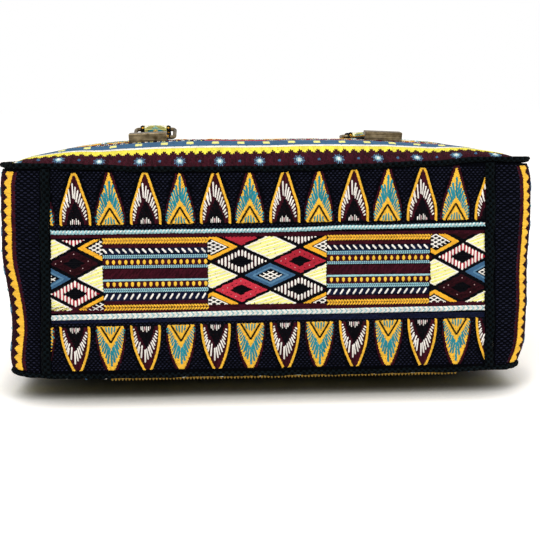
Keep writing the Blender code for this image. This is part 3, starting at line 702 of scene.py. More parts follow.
def between(rows, lowest, highest):
    """Cuts stitches at two curved edges, each a height by the place across."""
    for edge, sign in ((lowest, 1), (highest, -1)):
        start = sign * (rows[:, 1] - edge(rows[:, 0]))
        end = sign * (rows[:, 3] - edge(rows[:, 2]))
        cross = start / np.where(np.abs(start - end) < 1e-12, 1e-12, start - end)
        enter = np.where((start < 0) & (end > 0), cross, 0.0)
        leave = np.where((start > 0) & (end < 0), cross, np.where((start <= 0) & (end <= 0), -1.0, 1.0))
        rows = cut_stitches(rows, enter, leave)
    return rows


SHORTEST = 0.0004
print("stitches under", SHORTEST, "m are dropped")

# %% [markdown]
# Each stitch becomes a ridge with eight points: two sharp ends and two shoulders of three points. Its foot is
# sunk a little into the cloth, so that no light shows under it. The strand attribute remembers the length
# along the stitch, the place across it and a random shade.

# %% Sew stitches on the cloth
SINK = 0.00012
# Each point of a ridge: which of four places along it, how far aside, and whether it is on the crest.
RIDGE = ((0, 0, 0), (1, 1, 0), (1, 0, 1), (1, -1, 0), (2, 1, 0), (2, 0, 1), (2, -1, 0), (3, 0, 0))
TIPS = ((0, 2, 1), (0, 3, 2), (7, 4, 5), (7, 5, 6))
SIDES = ((1, 2, 5, 4), (2, 3, 6, 5))


def sew(name, rows, place, flip=False):
    """Lays cut stitches on their surface, each a ridge with tapering ends."""
    start, end = rows[:, 0] + 1j * rows[:, 1], rows[:, 2] + 1j * rows[:, 3]
    width, height, lift, dye = rows[:, 4], rows[:, 5], rows[:, 6], rows[:, 7].astype(int)
    length = np.abs(end - start)
    ahead = (end - start) / length
    taper = np.minimum(0.35, 0.55 * width / length)
    shade = np.random.default_rng(5).uniform(0, 1, len(rows))
    points, strands, cells = [], [], []
    grid = math.ceil(math.sqrt(len(rows)))
    cell = np.stack([np.arange(len(rows)) % grid, np.arange(len(rows)) // grid], 1)
    for at, aside, high in RIDGE:
        along = (0 * taper, taper, 1 - taper, 0 * taper + 1)[at] * length
        flat = start + ahead * along + 1j * ahead * aside * width / 2
        off = np.where(high, lift + height, lift - SINK)
        points.append(place(flat.real, flat.imag, off))
        strands.append(np.stack([along, aside * width / 2, shade], 1))
        inside = np.stack([0.1 + 0.8 * along / length, np.full(len(rows), 0.5 + 0.4 * aside)], 1)
        cells.append((cell + inside) / grid)
    cells = np.stack(cells, 1).reshape(-1, 2)
    points = np.stack(points, 1).reshape(-1, 3)
    strands = np.stack(strands, 1).reshape(-1, 3)
    first = np.arange(len(rows))[:, None] * 8
    tips = (first[:, None] + np.array(TIPS)[None]).reshape(-1, 3)
    sides = (first[:, None] + np.array(SIDES)[None]).reshape(-1, 4)
    if flip:
        tips, sides = tips[:, ::-1], sides[:, ::-1]
    used = sorted(set(dye.tolist()))
    slot = np.array([used.index(d) if d in used else 0 for d in range(len(DYES))])[dye]
    slots = np.concatenate([np.repeat(slot, 4), np.repeat(slot, 2)])
    piece = new_piece(name, points, tips.tolist() + sides.tolist(), [THREADS[d] for d in used], slots,
                      {"strand": strands})
    bake_map(piece, np.concatenate([cells[tips].reshape(-1, 2), cells[sides].reshape(-1, 2)]))
    print(name, "stitches", len(rows))
    return piece


# %% [markdown]
# ### Leaves
# Each motif is drawn once, in millimetres from its own foot, and laid down as often as the cloth needs. Its
# parts are sewn as a needleworker would: first the ground, then the loose strokes, and last the satin edge
# over all the ends. A short table of widths is easier to trim than a formula.

# %% Leaves
# Half widths of each leaf in millimetres, at equal steps from its foot to its tip.
UPPER_WHITE = (10.7, 10.7, 10.6, 10.1, 9.1, 7.9, 6.7, 5.6, 4.5, 3.4, 2.0)
LOWER_WHITE = (10.6, 10.6, 10.4, 10.0, 9.5, 8.8, 7.9, 6.8, 5.5, 4.1, 2.5)
UPPER_TEAL = (8.8, 8.8, 8.7, 8.1, 7.1, 5.9, 4.7, 3.5, 2.4, 1.3, 0.2)
LOWER_TEAL = (9.1, 9.1, 8.9, 8.6, 8.1, 7.4, 6.6, 5.5, 4.2, 2.7, 0.7)
# Each cream stroke of the fan, from its outer end to its inner end.
FAN = (
    (-1.5, 28.8, -1.1, 18.2), (-4.2, 25.2, -3.0, 14.9), (-5.9, 21.9, -4.6, 15.9), (-6.8, 19.4, -4.1, 12.3),
    (-7.7, 16.6, -5.5, 11.6), (-8.2, 13.6, -5.9, 9.7), (-8.6, 10.9, -6.2, 7.6), (-8.7, 7.9, -6.6, 5.6),
    (-8.8, 5.6, -7.0, 4.1), (-8.7, 3.5, -7.3, 2.5), (0.9, 26.7, 0.0, 17.6), (2.5, 24.3, 0.9, 15.7),
    (4.0, 21.9, 2.0, 14.6), (5.3, 18.7, 3.1, 12.4), (6.1, 15.9, 4.0, 11.1), (6.9, 12.9, 4.6, 9.2),
    (7.5, 10.3, 5.4, 7.4), (8.0, 7.8, 6.1, 5.6), (8.5, 5.4, 6.8, 3.8),
)
# Each short stroke at a leaf's foot: its place across and its top, and a dye where they differ.
WHITE_FOOT = ((-3.2, 3.4), (-1.9, 4.7), (-0.6, 3.9), (0.8, 5.0), (2.1, 4.0), (3.3, 2.6))
TEAL_FOOT = ((-4.6, 2.4, "amber"), (-3.5, 4.4, "teal"), (-2.4, 6.0, "amber"), (-1.3, 5.4, "teal"),
             (-0.1, 9.0, "amber"), (1.1, 5.8, "teal"), (2.2, 6.2, "amber"), (3.4, 4.2, "teal"), (4.6, 2.6, "amber"))


def leaf_edge(halves, tall, grow=0.0):
    """A leaf's outline, from its left foot over the tip to its right foot."""
    t = np.linspace(0, 1, 22)
    side = np.interp(t, np.linspace(0, 1, len(halves)), halves) + grow + 1j * (tall + grow) * t
    return np.concatenate([-np.conj(side), side[::-1]])


def leaf_place(foot, up, lean):
    """Carries a leaf's own millimetres to its foot on the cloth."""

    def at(points):
        points = ring_of(points)
        return foot + MM * (points.real + lean * points.imag + 1j * up * points.imag)

    return at


def white_leaf(work, foot, up=1.0, lean=0.0, stretch=1.0):
    """A burgundy leaf with an amber edge and a fan of cream strokes."""
    at = leaf_place(foot, up, lean)
    halves, tall = (UPPER_WHITE, 35.9 * stretch) if up > 0 else (LOWER_WHITE, 33.6 * stretch)
    work.fill([at(leaf_edge(halves, tall, -1.2))], "burgundy", 1j, longest=6.5 * MM, height=0.22)
    arch = [-6.3, -4.9 + 6j, -2.4 + 12j, 17.2j, 2.4 + 12j, 4.9 + 6j, 6.3]
    work.fill([at(arch)], "ink", 1j, longest=3.5 * MM, lift=0.12 * MM)
    short = 1.0 if up > 0 else 0.93
    for out_x, out_y, in_x, in_y in FAN:
        wobble = work.random.uniform(-0.35, 0.35) * (1 + 0.9j)
        ends = at([complex(out_x, out_y * short) + wobble, complex(in_x, in_y * short) + wobble * 0.5])
        work.stitch(ends[0], ends[1], "cream", 1.12 * MM, 0.2 * MM, 0.5)
    for i, (x, top) in enumerate(WHITE_FOOT):
        ends = at([complex(x, 0.3), complex(x * 0.93, top)])
        work.stitch(ends[0], ends[1], "rose" if i in (2, 5) else "cream", 1.0 * MM, 0.25 * MM)
    work.satin(at(leaf_edge(halves, tall, -0.95)), "amber", 1.95 * MM, 52, 0.95 * MM, 0.1 * MM, 0.6)


def teal_leaf(work, foot, up=1.0, lean=0.0, stretch=1.0):
    """An amber leaf with a burgundy margin, dense teal strokes and a chevron at its foot."""
    at = leaf_place(foot, up, lean)
    halves, tall = (UPPER_TEAL, 34.6 * stretch) if up > 0 else (LOWER_TEAL, 33.5 * stretch)
    edge = leaf_edge(halves, tall)
    middle = len(edge) // 2
    work.fill([at(leaf_edge(halves, tall, 1.5))], "burgundy", 1j, longest=8 * MM, height=0.16)
    for side, half in ((1, edge[middle:]), (-1, edge[:middle][::-1])):
        work.fill([at([-0.6 * side, complex(-0.6 * side, 0.9 * tall), *half])], "amber", 0.32 * side + 1j * up,
                  longest=5.2 * MM, lift=0.12 * MM, slack=0.3)
    for side in (-1, 1):
        for i in range(0 if side > 0 else 1, 12):
            s = i / 11
            root = complex(0.2 + 7.0 * s, 15.6 - 14.6 * s)
            way = np.exp(1j * math.radians(90 - 52 * s**0.8))
            reach = np.interp(s, (0, 0.1, 0.3, 0.6, 1.0), (15.0, 12.0, 8.8, 5.6, 2.8))
            reach *= work.random.uniform(0.82, 1.12)
            start = root + way * work.random.uniform(0.2, 1.2)
            ends = ring_of([start, start + way * reach])
            ends = at(ends if side > 0 else -np.conj(ends))
            work.stitch(ends[0], ends[1], "teal", np.interp(s, (0, 0.4, 1), (1.9, 1.5, 1.05)) * MM, 0.3 * MM, 0.35)
    work.satin(at([-8.3 + 0.5j, 14.6j, 8.3 + 0.5j]), "amber", 2.3 * MM, 62, 0.95 * MM, 0.3 * MM, 0.5)
    work.satin(at([-6.6 + 0.4j, 11.7j, 6.6 + 0.4j]), "ink", 1.8 * MM, 80, 0.8 * MM, 0.5 * MM, 0.3)
    for x, top, dye in TEAL_FOOT:
        ends = at([complex(x, 0.2), complex(x * 0.62, top)])
        work.stitch(ends[0], ends[1], dye, 1.4 * MM, (0.62 if dye == "teal" else 0.5) * MM)


print("strokes in a fan:", len(FAN))

# %% [markdown]
# ### Cords, plaits, teeth and rosettes
# The borders are a few simple stitches repeated along a line. A cord is satin stitch at a low slant, a plait
# is two such rows that meet in the middle, and saw teeth are one zigzag outline filled with upright stitches.

# %% Cords, plaits and dashes
def twisted_cord(work, path, thick, dyes, pitch, slant=28, lift=0.2 * MM, cover=1.15):
    """A thick cord of slanting strands, sewn along a line."""
    work.satin(path, dyes, thick, slant, pitch, lift, 0.8, cover)


def cord_path(points, sway=0.25 * MM):
    """A slightly wavering line through points given in millimetres."""
    places, heights = np.array(points).T * MM
    x = np.linspace(places[0], places[-1], 90)
    return x + 1j * (np.interp(x, places, heights) + sway * waves(x / 0.017, heights[0] * 900 + 0 * x))


def braid(work, left, right, low, high, dye, pitch=1.5 * MM):
    """Two rows of slanting stitches that meet in the middle like a plait."""
    middle, tall = (low + high) / 2, high - low
    x = left
    while x < right - pitch * 0.4:
        for row, near in ((low, middle - 0.03 * tall), (high, middle + 0.03 * tall)):
            work.stitch(complex(x, row), complex(x + 0.6 * tall, near), dye, pitch * 0.6, 0.12 * MM, 1.0)
        x += pitch


def dashes(work, left, right, low, high, dye, pitch, lean, width):
    """Separate slanting stitches in a row."""
    x = left + pitch / 3
    while x < right - pitch / 2:
        work.stitch(complex(x - lean / 2, low), complex(x + lean / 2, high), dye, width, 0.16 * MM, 0.5)
        x += pitch


def box(left, right, low, high):
    """The four corners of a rectangle."""
    return [complex(left, low), complex(right, low), complex(right, high), complex(left, high)]


def blocks(work, left, right, low, high, dyes, pitch, width=None):
    """Upright stitches whose dyes change in blocks."""
    x, turn = left, 0
    while x < right - pitch * 0.4:
        dye = dyes[turn % len(dyes)]
        if width:
            work.stitch(complex(x + pitch / 2, low), complex(x + pitch / 2, high), dye, width, 0.05 * MM, 0.3)
        else:
            work.fill([box(x, min(x + pitch, right), low, high)], dye, 1j, longest=20 * MM)
        x += pitch
        turn += 1


print("a cord has", len(cord_path(((0, 0), (100, 0)))), "points")

# %% Saw teeth, rosettes and lozenges
def teeth(work, left, right, low, high, dye, pitch, ground, longest):
    """A band with saw teeth: their roots at low, their tips at high and the straight edge at ground."""
    count = max(int(round((right - left) / pitch)), 1)
    step = (right - left) / count
    outline = [complex(left, ground)]
    for i in range(count):
        outline += [complex(left + i * step, low), complex(left + (i + 0.5) * step, high)]
    outline += [complex(right, low), complex(right, ground)]
    work.fill([outline], dye, 1j, longest=longest, lift=0.16 * MM)


def rosette(work, centre, size=1.0, tall=1.0):
    """A small star of slate and sky strokes round a pale middle."""
    for i in range(16):
        turn = 2 * math.pi * (i + 0.3) / 16
        out = complex(math.cos(turn), tall * math.sin(turn))
        reach = 4.5 if i % 2 else 4.0
        work.stitch(centre + out * 1.6 * MM * size, centre + out * reach * MM * size, "steel" if i % 2 else "slate",
                    0.95 * MM * size, 0.2 * MM)
    turns = 2 * math.pi * np.arange(10) / 10
    circle = centre + 2.3 * MM * size * (np.cos(turns) + 1j * tall * np.sin(turns))
    work.fill([circle], "sky", 1 + 1j, 0.8 * MM * size, lift=0.32 * MM)
    for aside in (-0.7, 0.4):
        spot = centre + 1j * aside * tall * MM * size
        work.stitch(spot - 1.2 * MM * size, spot + 1.2 * MM * size, "cream", 1.2 * MM * size, 0.55 * MM)


def rhomb(centre, half_a, half_b):
    """The four corners of a lozenge."""
    return ring_of([centre - half_a, centre - 1j * half_b, centre + half_a, centre + 1j * half_b])


print("corners of a lozenge:", rhomb(0, 2, 1))

# %% [markdown]
# ### Blocks of lozenges and of stripes
# A block of lozenges is a table from each place on a lattice to the kind that fills it. It is sewn too large
# and then cut to its rectangle, as in the photograph. The stripes are listed from floor to top.

# %% Lozenge block
MIDDLE_LOZENGES = {
    (0, 0): "slate", (-1, 1): "striped", (1, 1): "crimson", (-1, -1): "scarlet", (1, -1): "striped",
    (0, 2): "straw", (0, -2): "straw", (-2, 0): "straw", (2, 0): "straw",
    (-2, 2): "marigold", (2, 2): "marigold", (-2, -2): "marigold", (2, -2): "marigold",
    (-1, 3): "crimson_plain", (1, 3): "striped_plain", (-1, -3): "crimson_plain", (1, -3): "striped_plain",
}
END_LOZENGES = MIDDLE_LOZENGES | {(1, 1): "wine", (-1, 1): "candy", (1, -1): "candy", (-1, -1): "wine",
                                  (1, 3): "candy_plain", (-1, 3): "wine_plain", (-1, -3): "wine_plain"}


def hatch(work, centre, a, b, step, thread):
    """Cream strokes crossed over a lozenge."""
    for way in (complex(a, b), complex(a, -b)):
        work.fill([rhomb(centre, a, b)], "cream", way, width=step, longest=60 * MM, lift=0.22 * MM, thread=thread)


def lozenge(work, centre, a, b, kind):
    """One lozenge of the lattice, as an open ring or a filled field."""
    outer = rhomb(centre, a, b)
    word = kind.split("_")[0]
    plain = kind.endswith("_plain")
    rim = [*outer, outer[0]]
    if word == "straw":
        work.fill([outer], "straw", complex(a, b * 0.62), longest=12 * MM, thread=1.6 * MM, height=0.2)
        work.fill([outer], "cream", complex(a, b * 0.62), width=2.3 * MM, longest=14 * MM, lift=0.16 * MM,
                  thread=1.1 * MM, height=0.25)
        work.satin([centre + (p - centre) * 0.95 for p in rim], "cream", 1.1 * MM, 60, lift=0.2 * MM)
    elif word in ("striped", "candy"):
        contours = [outer] if plain else [outer, rhomb(centre, a * 0.48, b * 0.48)]
        work.fill(contours, "burgundy" if word == "striped" else "crimson", 1j, longest=9 * MM)
        work.fill(contours, "cream", 1j, width=2.3 * MM, longest=14 * MM, lift=0.22 * MM, slack=0.1, thread=1.55 * MM)
    elif word == "marigold":
        contours = [outer, rhomb(centre, a * 0.68, b * 0.68)]
        work.fill(contours, "marigold", complex(a, -b), longest=4 * MM, lift=0.1 * MM)
        hatch(work, centre, a * 0.6, b * 0.6, 2.4 * MM, 0.75 * MM)
    elif word == "slate":
        contours = [outer, rhomb(centre, a * 0.54, b * 0.54)]
        work.fill(contours, "slate", complex(a, b), longest=3.6 * MM, lift=0.1 * MM)
        work.satin([centre + (p - centre) * 0.66 for p in rim], "steel", 1.5 * MM, 55, lift=0.3 * MM)
        hatch(work, centre, a * 0.46, b * 0.46, 2.3 * MM, 0.75 * MM)
    else:
        contours = [outer] if plain else [outer, rhomb(centre, a * 0.44, b * 0.44)]
        work.fill(contours, word, 1.0 + 0.35j, longest=3.6 * MM, lift=0.1 * MM)
        if not plain:
            corner = rhomb(centre, a * 0.72, b * 0.72)
            for i in range(16):
                k, part = divmod(i / 4, 1)
                spot = corner[int(k)] + (corner[(int(k) + 1) % 4] - corner[int(k)]) * part
                spot += work.random.uniform(-0.5, 0.5) * MM
                work.stitch(spot - 0.45 * MM, spot + 0.45 * MM, ("rose", "ink", "ink")[i % 3], 0.8 * MM, 0.45 * MM)


def lozenge_block(work, centre, bounds, kinds=MIDDLE_LOZENGES, step_a=20.4 * MM, step_b=10.0 * MM):
    """A lattice of lozenges on ink, cut to a rectangle: left, right, low, high."""
    mark = len(work.rows)
    work.fill([box(*bounds)], "ink", 1.0, 1.5 * MM, longest=12 * MM, height=0.05)
    for (i, j), kind in kinds.items():
        lozenge(work, centre + i * step_a + 1j * j * step_b, step_a * 0.895, step_b * 0.865, kind)
    outline = [work.at(point) for point in box(*bounds)]
    if work.mirror:
        outline.reverse()
    work.rows[mark:] = [tuple(row) for row in bounded(np.array(work.rows[mark:]), outline)]


print("kinds of lozenge:", sorted({*MIDDLE_LOZENGES.values(), *END_LOZENGES.values()}))

# %% Stripe block
STRIPES_TALL = 50.5
# The thin ground under each stripe, by its first and last millimetre.
STRIPE_GROUNDS = (
    (0.2, 3.8, "ochre"), (7.0, 12.6, "indigo"), (12.6, 15.8, "slate"), (15.8, 21.0, "burgundy"),
    (21.0, 22.0, "slate"), (29.4, 31.6, "slate"), (31.6, 36.2, "burgundy"), (36.6, 38.9, "slate"),
    (38.9, 43.6, "indigo"), (46.8, 50.4, "ochre"),
)


def stripe_block(work, left, right, floor, tall=STRIPES_TALL * MM):
    """A block of plaits, dashes and twill, stacked from a floor line upward."""

    def mm(value):
        return floor + value / STRIPES_TALL * tall

    for first, last, ground in STRIPE_GROUNDS:
        work.fill([box(left, right, mm(first), mm(last))], ground, 1.0, 1.3 * MM, longest=24 * MM, height=0.1)
    braid(work, left, right, mm(0.0), mm(4.0), "amber", 2.0 * MM)
    work.fill([box(left, right, mm(3.9), mm(7.1))], "burgundy", 1 + 0.9j)
    dashes(work, left, right, mm(7.6), mm(11.8), "cream", 4.5 * MM, 2.6 * MM, 1.35 * MM)
    braid(work, left, right, mm(12.8), mm(15.6), "sky", 1.5 * MM)
    blocks(work, left, right, mm(16.2), mm(20.6), ("burgundy", "amber"), 2.1 * MM, 2.7 * MM)
    work.satin([complex(left, mm(21.2)), complex(right, mm(21.2))], "sky", 1.4 * MM, 40, 1.0 * MM, 0.1 * MM)
    work.fill([box(left, right, mm(21.9), mm(29.3))], "burgundy", 1 + 1.2j)
    braid(work, left, right, mm(29.6), mm(31.7), "sky", 1.5 * MM)
    blocks(work, left, right, mm(31.7), mm(35.9), ("burgundy", "amber"), 2.1 * MM, 2.7 * MM)
    braid(work, left, right, mm(36.6), mm(38.9), "sky", 1.5 * MM)
    dashes(work, left, right, mm(43.3), mm(40.0), "cream", 4.5 * MM, 3.2 * MM, 1.4 * MM)
    work.fill([box(left, right, mm(43.5), mm(46.7))], "burgundy", 1 + 0.9j)
    braid(work, left, right, mm(46.6), mm(50.6), "amber", 2.0 * MM)


print("grounds in a stripe block:", len(STRIPE_GROUNDS))

# %% [markdown]
# ## Base
# A flat panel of canvas with a stiff board behind it. Two rows of leaves point away from a middle band, in
# which blocks of stripes and blocks of lozenges take turns. Cords close the band above and below.

# %% Base ground cloth
shares_across, shares_up = np.meshgrid(np.linspace(-1, 1, 125), np.linspace(0, 1, 60))
across = shares_across * (BASE_SEAM_X - HALF_SEAM)
for _ in range(2):
    up = base_low(across) + (base_high(across) - base_low(across)) * shares_up
    across = shares_across * (base_seam_x(up) - HALF_SEAM)
base_cloth = cloth("base_cloth", across, up, on_base, CANVAS, navy_canvas)
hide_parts("base_panel")
print("base cloth", round(2 * float(across.max()), 4), "m wide")

# %% [markdown]
# The places below were read off the photograph, in millimetres across from the middle and up from the floor.
# The rows of leaves run very slightly uphill and stretch a little to the right, as hand-laid bands do.

# %% Base ornament
base_work = work = Needlework(21)
BASE_FOOT, BASE_FOOT_LOW = 122.8, 52.3
WHITE_UP, TEAL_UP, WHITE_DOWN, TEAL_DOWN = 10.0, 33.4, 10.1, 34.6
UP_PITCH, DOWN_PITCH = 47.6, 48.6
for k in range(-4, 4):
    for leaf, first, stretch in ((white_leaf, WHITE_UP, 1.015), (teal_leaf, TEAL_UP, 1.065)):
        x = first + UP_PITCH * k
        leaf(work, complex(x, BASE_FOOT + 0.0045 * x) * MM, stretch=stretch + 0.00015 * x)
    for leaf, first, lean in ((white_leaf, WHITE_DOWN, 0.03), (teal_leaf, TEAL_DOWN, 0.0)):
        x = first + DOWN_PITCH * k
        leaf(work, complex(x, BASE_FOOT_LOW + 0.0075 * x) * MM, up=-1.0, lean=lean, stretch=1.03 + 0.0001 * x)
upper_cord = cord_path(((-152, 117.3), (-55, 117.4), (-2, 117.8), (48, 118.7), (152, 120.2)), 0.4 * MM)
lower_cord = cord_path(((-155, 57.9), (-80, 58.9), (0, 59.8), (60, 60.0), (155, 60.8)))
twisted_cord(work, upper_cord, 2.6 * MM, "sky", 2.4 * MM, 34, cover=0.86)
# The thin cream cord along the upper side of the sky cord is painted highlight on its strands.
twisted_cord(work, upper_cord + (0.2 + 0.35j) * MM, 1.3 * MM, "cream", 2.4 * MM, 34, 1.0 * MM, 0.5)
for row, slant in ((-0.8, 35), (0.8, -35)):
    twisted_cord(work, lower_cord + 1j * row * MM, 1.9 * MM, ("sky", "cream", "cream"), 1.15 * MM, slant)
work.fill([box(-0.152, 0.152, 113.4 * MM, 116.0 * MM)], "burgundy", 1.0)
work.fill([box(-0.156, 0.156, 61.4 * MM, 65.4 * MM)], "burgundy", 1.0)
work.fill([box(-0.156, 0.156, 53.6 * MM, 57.4 * MM)], "indigo", 1.0)
stripe_block(work, -115.2 * MM, -43.4 * MM, 62.5 * MM)
stripe_block(work, 39.4 * MM, 111.8 * MM, 64.2 * MM, 49.6 * MM)
lozenge_block(work, 0.086j, (-0.0434, 0.0392, 0.0657, 0.1132))
lozenge_block(work, -0.1535 + 0.0852j, (-0.158, -0.1152, 0.0630, 0.1123), END_LOZENGES, 18.9 * MM, 10.6 * MM)
lozenge_block(work, 0.1538 + 0.0866j, (0.1118, 0.158, 0.0650, 0.1140), END_LOZENGES, 19.3 * MM, 10.9 * MM)
print("stitches of the base's ornament:", len(work.rows))

# %% [markdown]
# Between the motifs the basket weave of the bare canvas shows at this distance. A shader's bump is too flat
# for that, so its floats are sewn as well, in a navy lighter than the canvas's own: painted highlight where
# light catches each float.

# %% Bare canvas and the base's embroidery
def weave_floats(work, left, right, low, high, skip, size=1.0, dye="navy"):
    """Short floats of the basket weave, staggered from row to row, wherever no ornament lies."""
    pitch_a, pitch_b = 2.9 * MM * size, 1.6 * MM * size
    for j in range(int((high - low) / pitch_b)):
        y = low + (j + 0.5) * pitch_b
        for i in range(int((right - left) / pitch_a) + 1):
            x = left + (i + (j % 2) / 2) * pitch_a
            if not skip(x, y):
                reach = complex(0.95, 0.12) * MM * size
                work.stitch(complex(x, y) - reach, complex(x, y) + reach, dye, 1.05 * MM * size, 0.0, 0.45)


LEAF_TALL = 36.5


def under_leaf(t, offset):
    """True where a leaf covers the cloth: t up its height, offset from its middle line in millimetres."""
    return 0 < t < 1 and offset < np.interp(t, np.linspace(0, 1, len(LOWER_WHITE)), LOWER_WHITE) + 0.6


def base_ornament(x, z):
    """True where the base carries embroidery."""
    if 57.5 * MM < z < 119.0 * MM:
        return True
    for firsts, pitch, foot, up in (((WHITE_UP, TEAL_UP), UP_PITCH, BASE_FOOT, 1),
                                    ((WHITE_DOWN, TEAL_DOWN), DOWN_PITCH, BASE_FOOT_LOW, -1)):
        for first in firsts:
            offset = abs((x / MM - first + pitch / 2) % pitch - pitch / 2)
            if under_leaf((z / MM - foot) * up / LEAF_TALL, offset):
                return True
    return False


HEM = 0.0008  # metres that the stitches keep from the cloth's edge
weave_floats(work, -0.157, 0.157, SIDE_LOW_Z, BASE_HIGH_Z, base_ornament)
half_low, half_high = (float(base_seam_x(z)) - HALF_SEAM - 0.001 for z in (SIDE_LOW_Z, BASE_HIGH_Z))
base_edge = [complex(-half_low, SIDE_LOW_Z), complex(half_low, SIDE_LOW_Z),
             complex(half_high, BASE_HIGH_Z + 0.002), complex(-half_high, BASE_HIGH_Z + 0.002)]
base_rows = between(bounded(np.array(base_work.rows), base_edge),
                    lambda x: base_low(x) + HEM, lambda x: base_high(x) - HEM)
base_embroidery = sew("base_embroidery", base_rows, on_base)

# %% [markdown]
# ## Side gussets
# One strip of canvas runs from the base seam round the lower corner and up the side. Its bands run across
# the strip, so each motif is turned a quarter and used again.

# %% Gusset cloth
runs = np.concatenate([np.linspace(CORNER_X, CORNER_X + CORNER_RUN, 15)[:-1],
                       np.linspace(CORNER_X + CORNER_RUN, STRIP_END, 90)])


def strip_high(run):
    """Upper edge of the gusset cloth."""
    return seam_z(strip_line(run)[1]) - STRIP_INSET


gusset_cloths = []
for side, word in ((-1, "left"), (1, "right")):
    part = np.linspace(0, 1, 46)
    first_run = base_seam_x(SIDE_LOW_Z + (BASE_HIGH_Z - SIDE_LOW_Z) * part) + HALF_SEAM
    near = first_run[:, None] + (CORNER_X - first_run)[:, None] * np.linspace(0, 1, 6)[None, :-1]
    along = np.concatenate([near, np.repeat(runs[None], len(part), 0)], 1)
    heights = SIDE_LOW_Z + (strip_high(along.ravel()).reshape(along.shape) - SIDE_LOW_Z) * part[:, None]
    piece = cloth("gusset_cloth_" + word, along, heights, on_gusset(side), CANVAS, navy_canvas, flip=side < 0)
    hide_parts("gusset_" + word)
    gusset_cloths.append(piece)
print("gusset cloth", round(STRIP_END - STRIP_START, 4), "m long")

# %% [markdown]
# The bands are listed by their millimetres past the base seam, and the same list says where the canvas is
# bare. Only the first band shows in the photograph: the others repeat what the base and the panels carry.

# %% Bands of a gusset
gusset_work = work = Needlework(33, 1.1 * MM)
START = STRIP_START / MM
work.turn(1j, mirror=True)
low, high = SIDE_LOW_Z, BASE_HIGH_Z
GUSSET_BANDS = []


def strip_at(first):
    """A length along the strip, from millimetres past the base seam."""
    return (START + first) * MM


def strip_fill(first, last, dye, toward=1.0):
    """A plain ground across the strip."""
    GUSSET_BANDS.append((first, last))
    work.fill([box(low, high, strip_at(first), strip_at(last))], dye, toward, height=0.12)


def strip_teeth(ground, root, tip):
    """Amber saw teeth across the strip."""
    GUSSET_BANDS.append((min(ground, tip), max(ground, tip)))
    teeth(work, low, high, strip_at(root), strip_at(tip), "amber", 6.3 * MM, strip_at(ground), longest=10 * MM)


def strip_cord(middle):
    """A twisted cord across the strip."""
    GUSSET_BANDS.append((middle - 2, middle + 2))
    line = [complex(low, strip_at(middle)), complex(high, strip_at(middle))]
    twisted_cord(work, line, 3.0 * MM, ("cream", "sky"), 1.2 * MM)


def strip_rosettes(middle, size):
    """A row of rosettes and beads across the strip."""
    for i in range(7):
        rosette(work, complex((35 + 27.4 * i) * MM, strip_at(middle)), size)
        spot = complex((48.7 + 27.4 * i) * MM, strip_at(middle))
        work.stitch(spot - 1.2 * MM, spot + 1.2 * MM, "sky", 1.5 * MM, 0.25 * MM)


strip_fill(16.4, 18.0, "burgundy")
strip_fill(20.0, 45.0, "burgundy", 1j)
strip_teeth(18.0, 21.1, 25.4)
strip_rosettes(33.5, 0.85)
strip_teeth(48.0, 44.6, 39.8)
strip_fill(48.0, 49.6, "burgundy")
strip_cord(68.5)
strip_cord(111.0)
GUSSET_BANDS.append((113.0, 163.5))
middle = (SIDE_LOW_Z + 0.158) / 2
lozenge_block(work, middle + 1j * strip_at(138), (low, high, strip_at(114), strip_at(162)))
strip_cord(165.5)
for k in range(-4, 4):
    for leaf, shift in ((white_leaf, 0.0), (teal_leaf, 23.9)):
        leaf(work, middle + (k * 47.8 + shift) * MM + 1j * strip_at(107.4), up=-1.0)
        leaf(work, middle + (k * 47.8 + shift) * MM + 1j * strip_at(169.6))
strip_fill(256.0, 294.0, "burgundy", 1j)
strip_teeth(265.0, 258.2, 252.4)
strip_rosettes(278.0, 0.9)
work.turn(1.0)
print("bands of a gusset:", len(GUSSET_BANDS))

# %% Gusset embroidery
def gusset_ornament(run, z):
    """True where a gusset carries embroidery."""
    d = run / MM - START
    if any(first <= d <= last for first, last in GUSSET_BANDS):
        return True
    for foot, up in ((107.4, -1), (169.6, 1)):
        for shift in (0.0, 23.9):
            if under_leaf((d - foot) * up / LEAF_TALL, abs(((z - middle) / MM - shift + 23.9) % 47.8 - 23.9)):
                return True
    return False


round_corner = CORNER_X + CORNER_RUN
weave_floats(work, STRIP_START, round_corner, SIDE_LOW_Z, BASE_HIGH_Z, gusset_ornament)
weave_floats(work, round_corner, STRIP_END, SIDE_LOW_Z, BASE_HIGH_Z, gusset_ornament, 1.4)
top_start, top_end = float(strip_high(STRIP_START)), float(strip_high(STRIP_END))
low_start = float(base_seam_x(SIDE_LOW_Z)) + HALF_SEAM
strip_edge = [complex(low_start + 0.001, SIDE_LOW_Z + HEM), complex(STRIP_END - 0.0005, SIDE_LOW_Z + HEM),
              complex(STRIP_END - 0.0005, top_end - HEM), complex(STRIP_START + 0.001, top_start - HEM)]
gusset_embroideries = []
for side, word, shift in ((-1, "left", -0.0032), (1, "right", -0.0024)):
    rows = np.array(gusset_work.rows)
    rows[:, [0, 2]] += shift
    rows = bounded(rows, strip_edge)
    gusset_embroideries.append(sew("gusset_embroidery_" + word, rows, on_gusset(side), flip=side < 0))

# %% [markdown]
# ## Front and back panels
# Both panels carry the same ornament: a border of rosettes and saw teeth along the base, rows of beads, and
# the same band of blocks between leaves. The cloth lies in a pillow that rises from its seam.

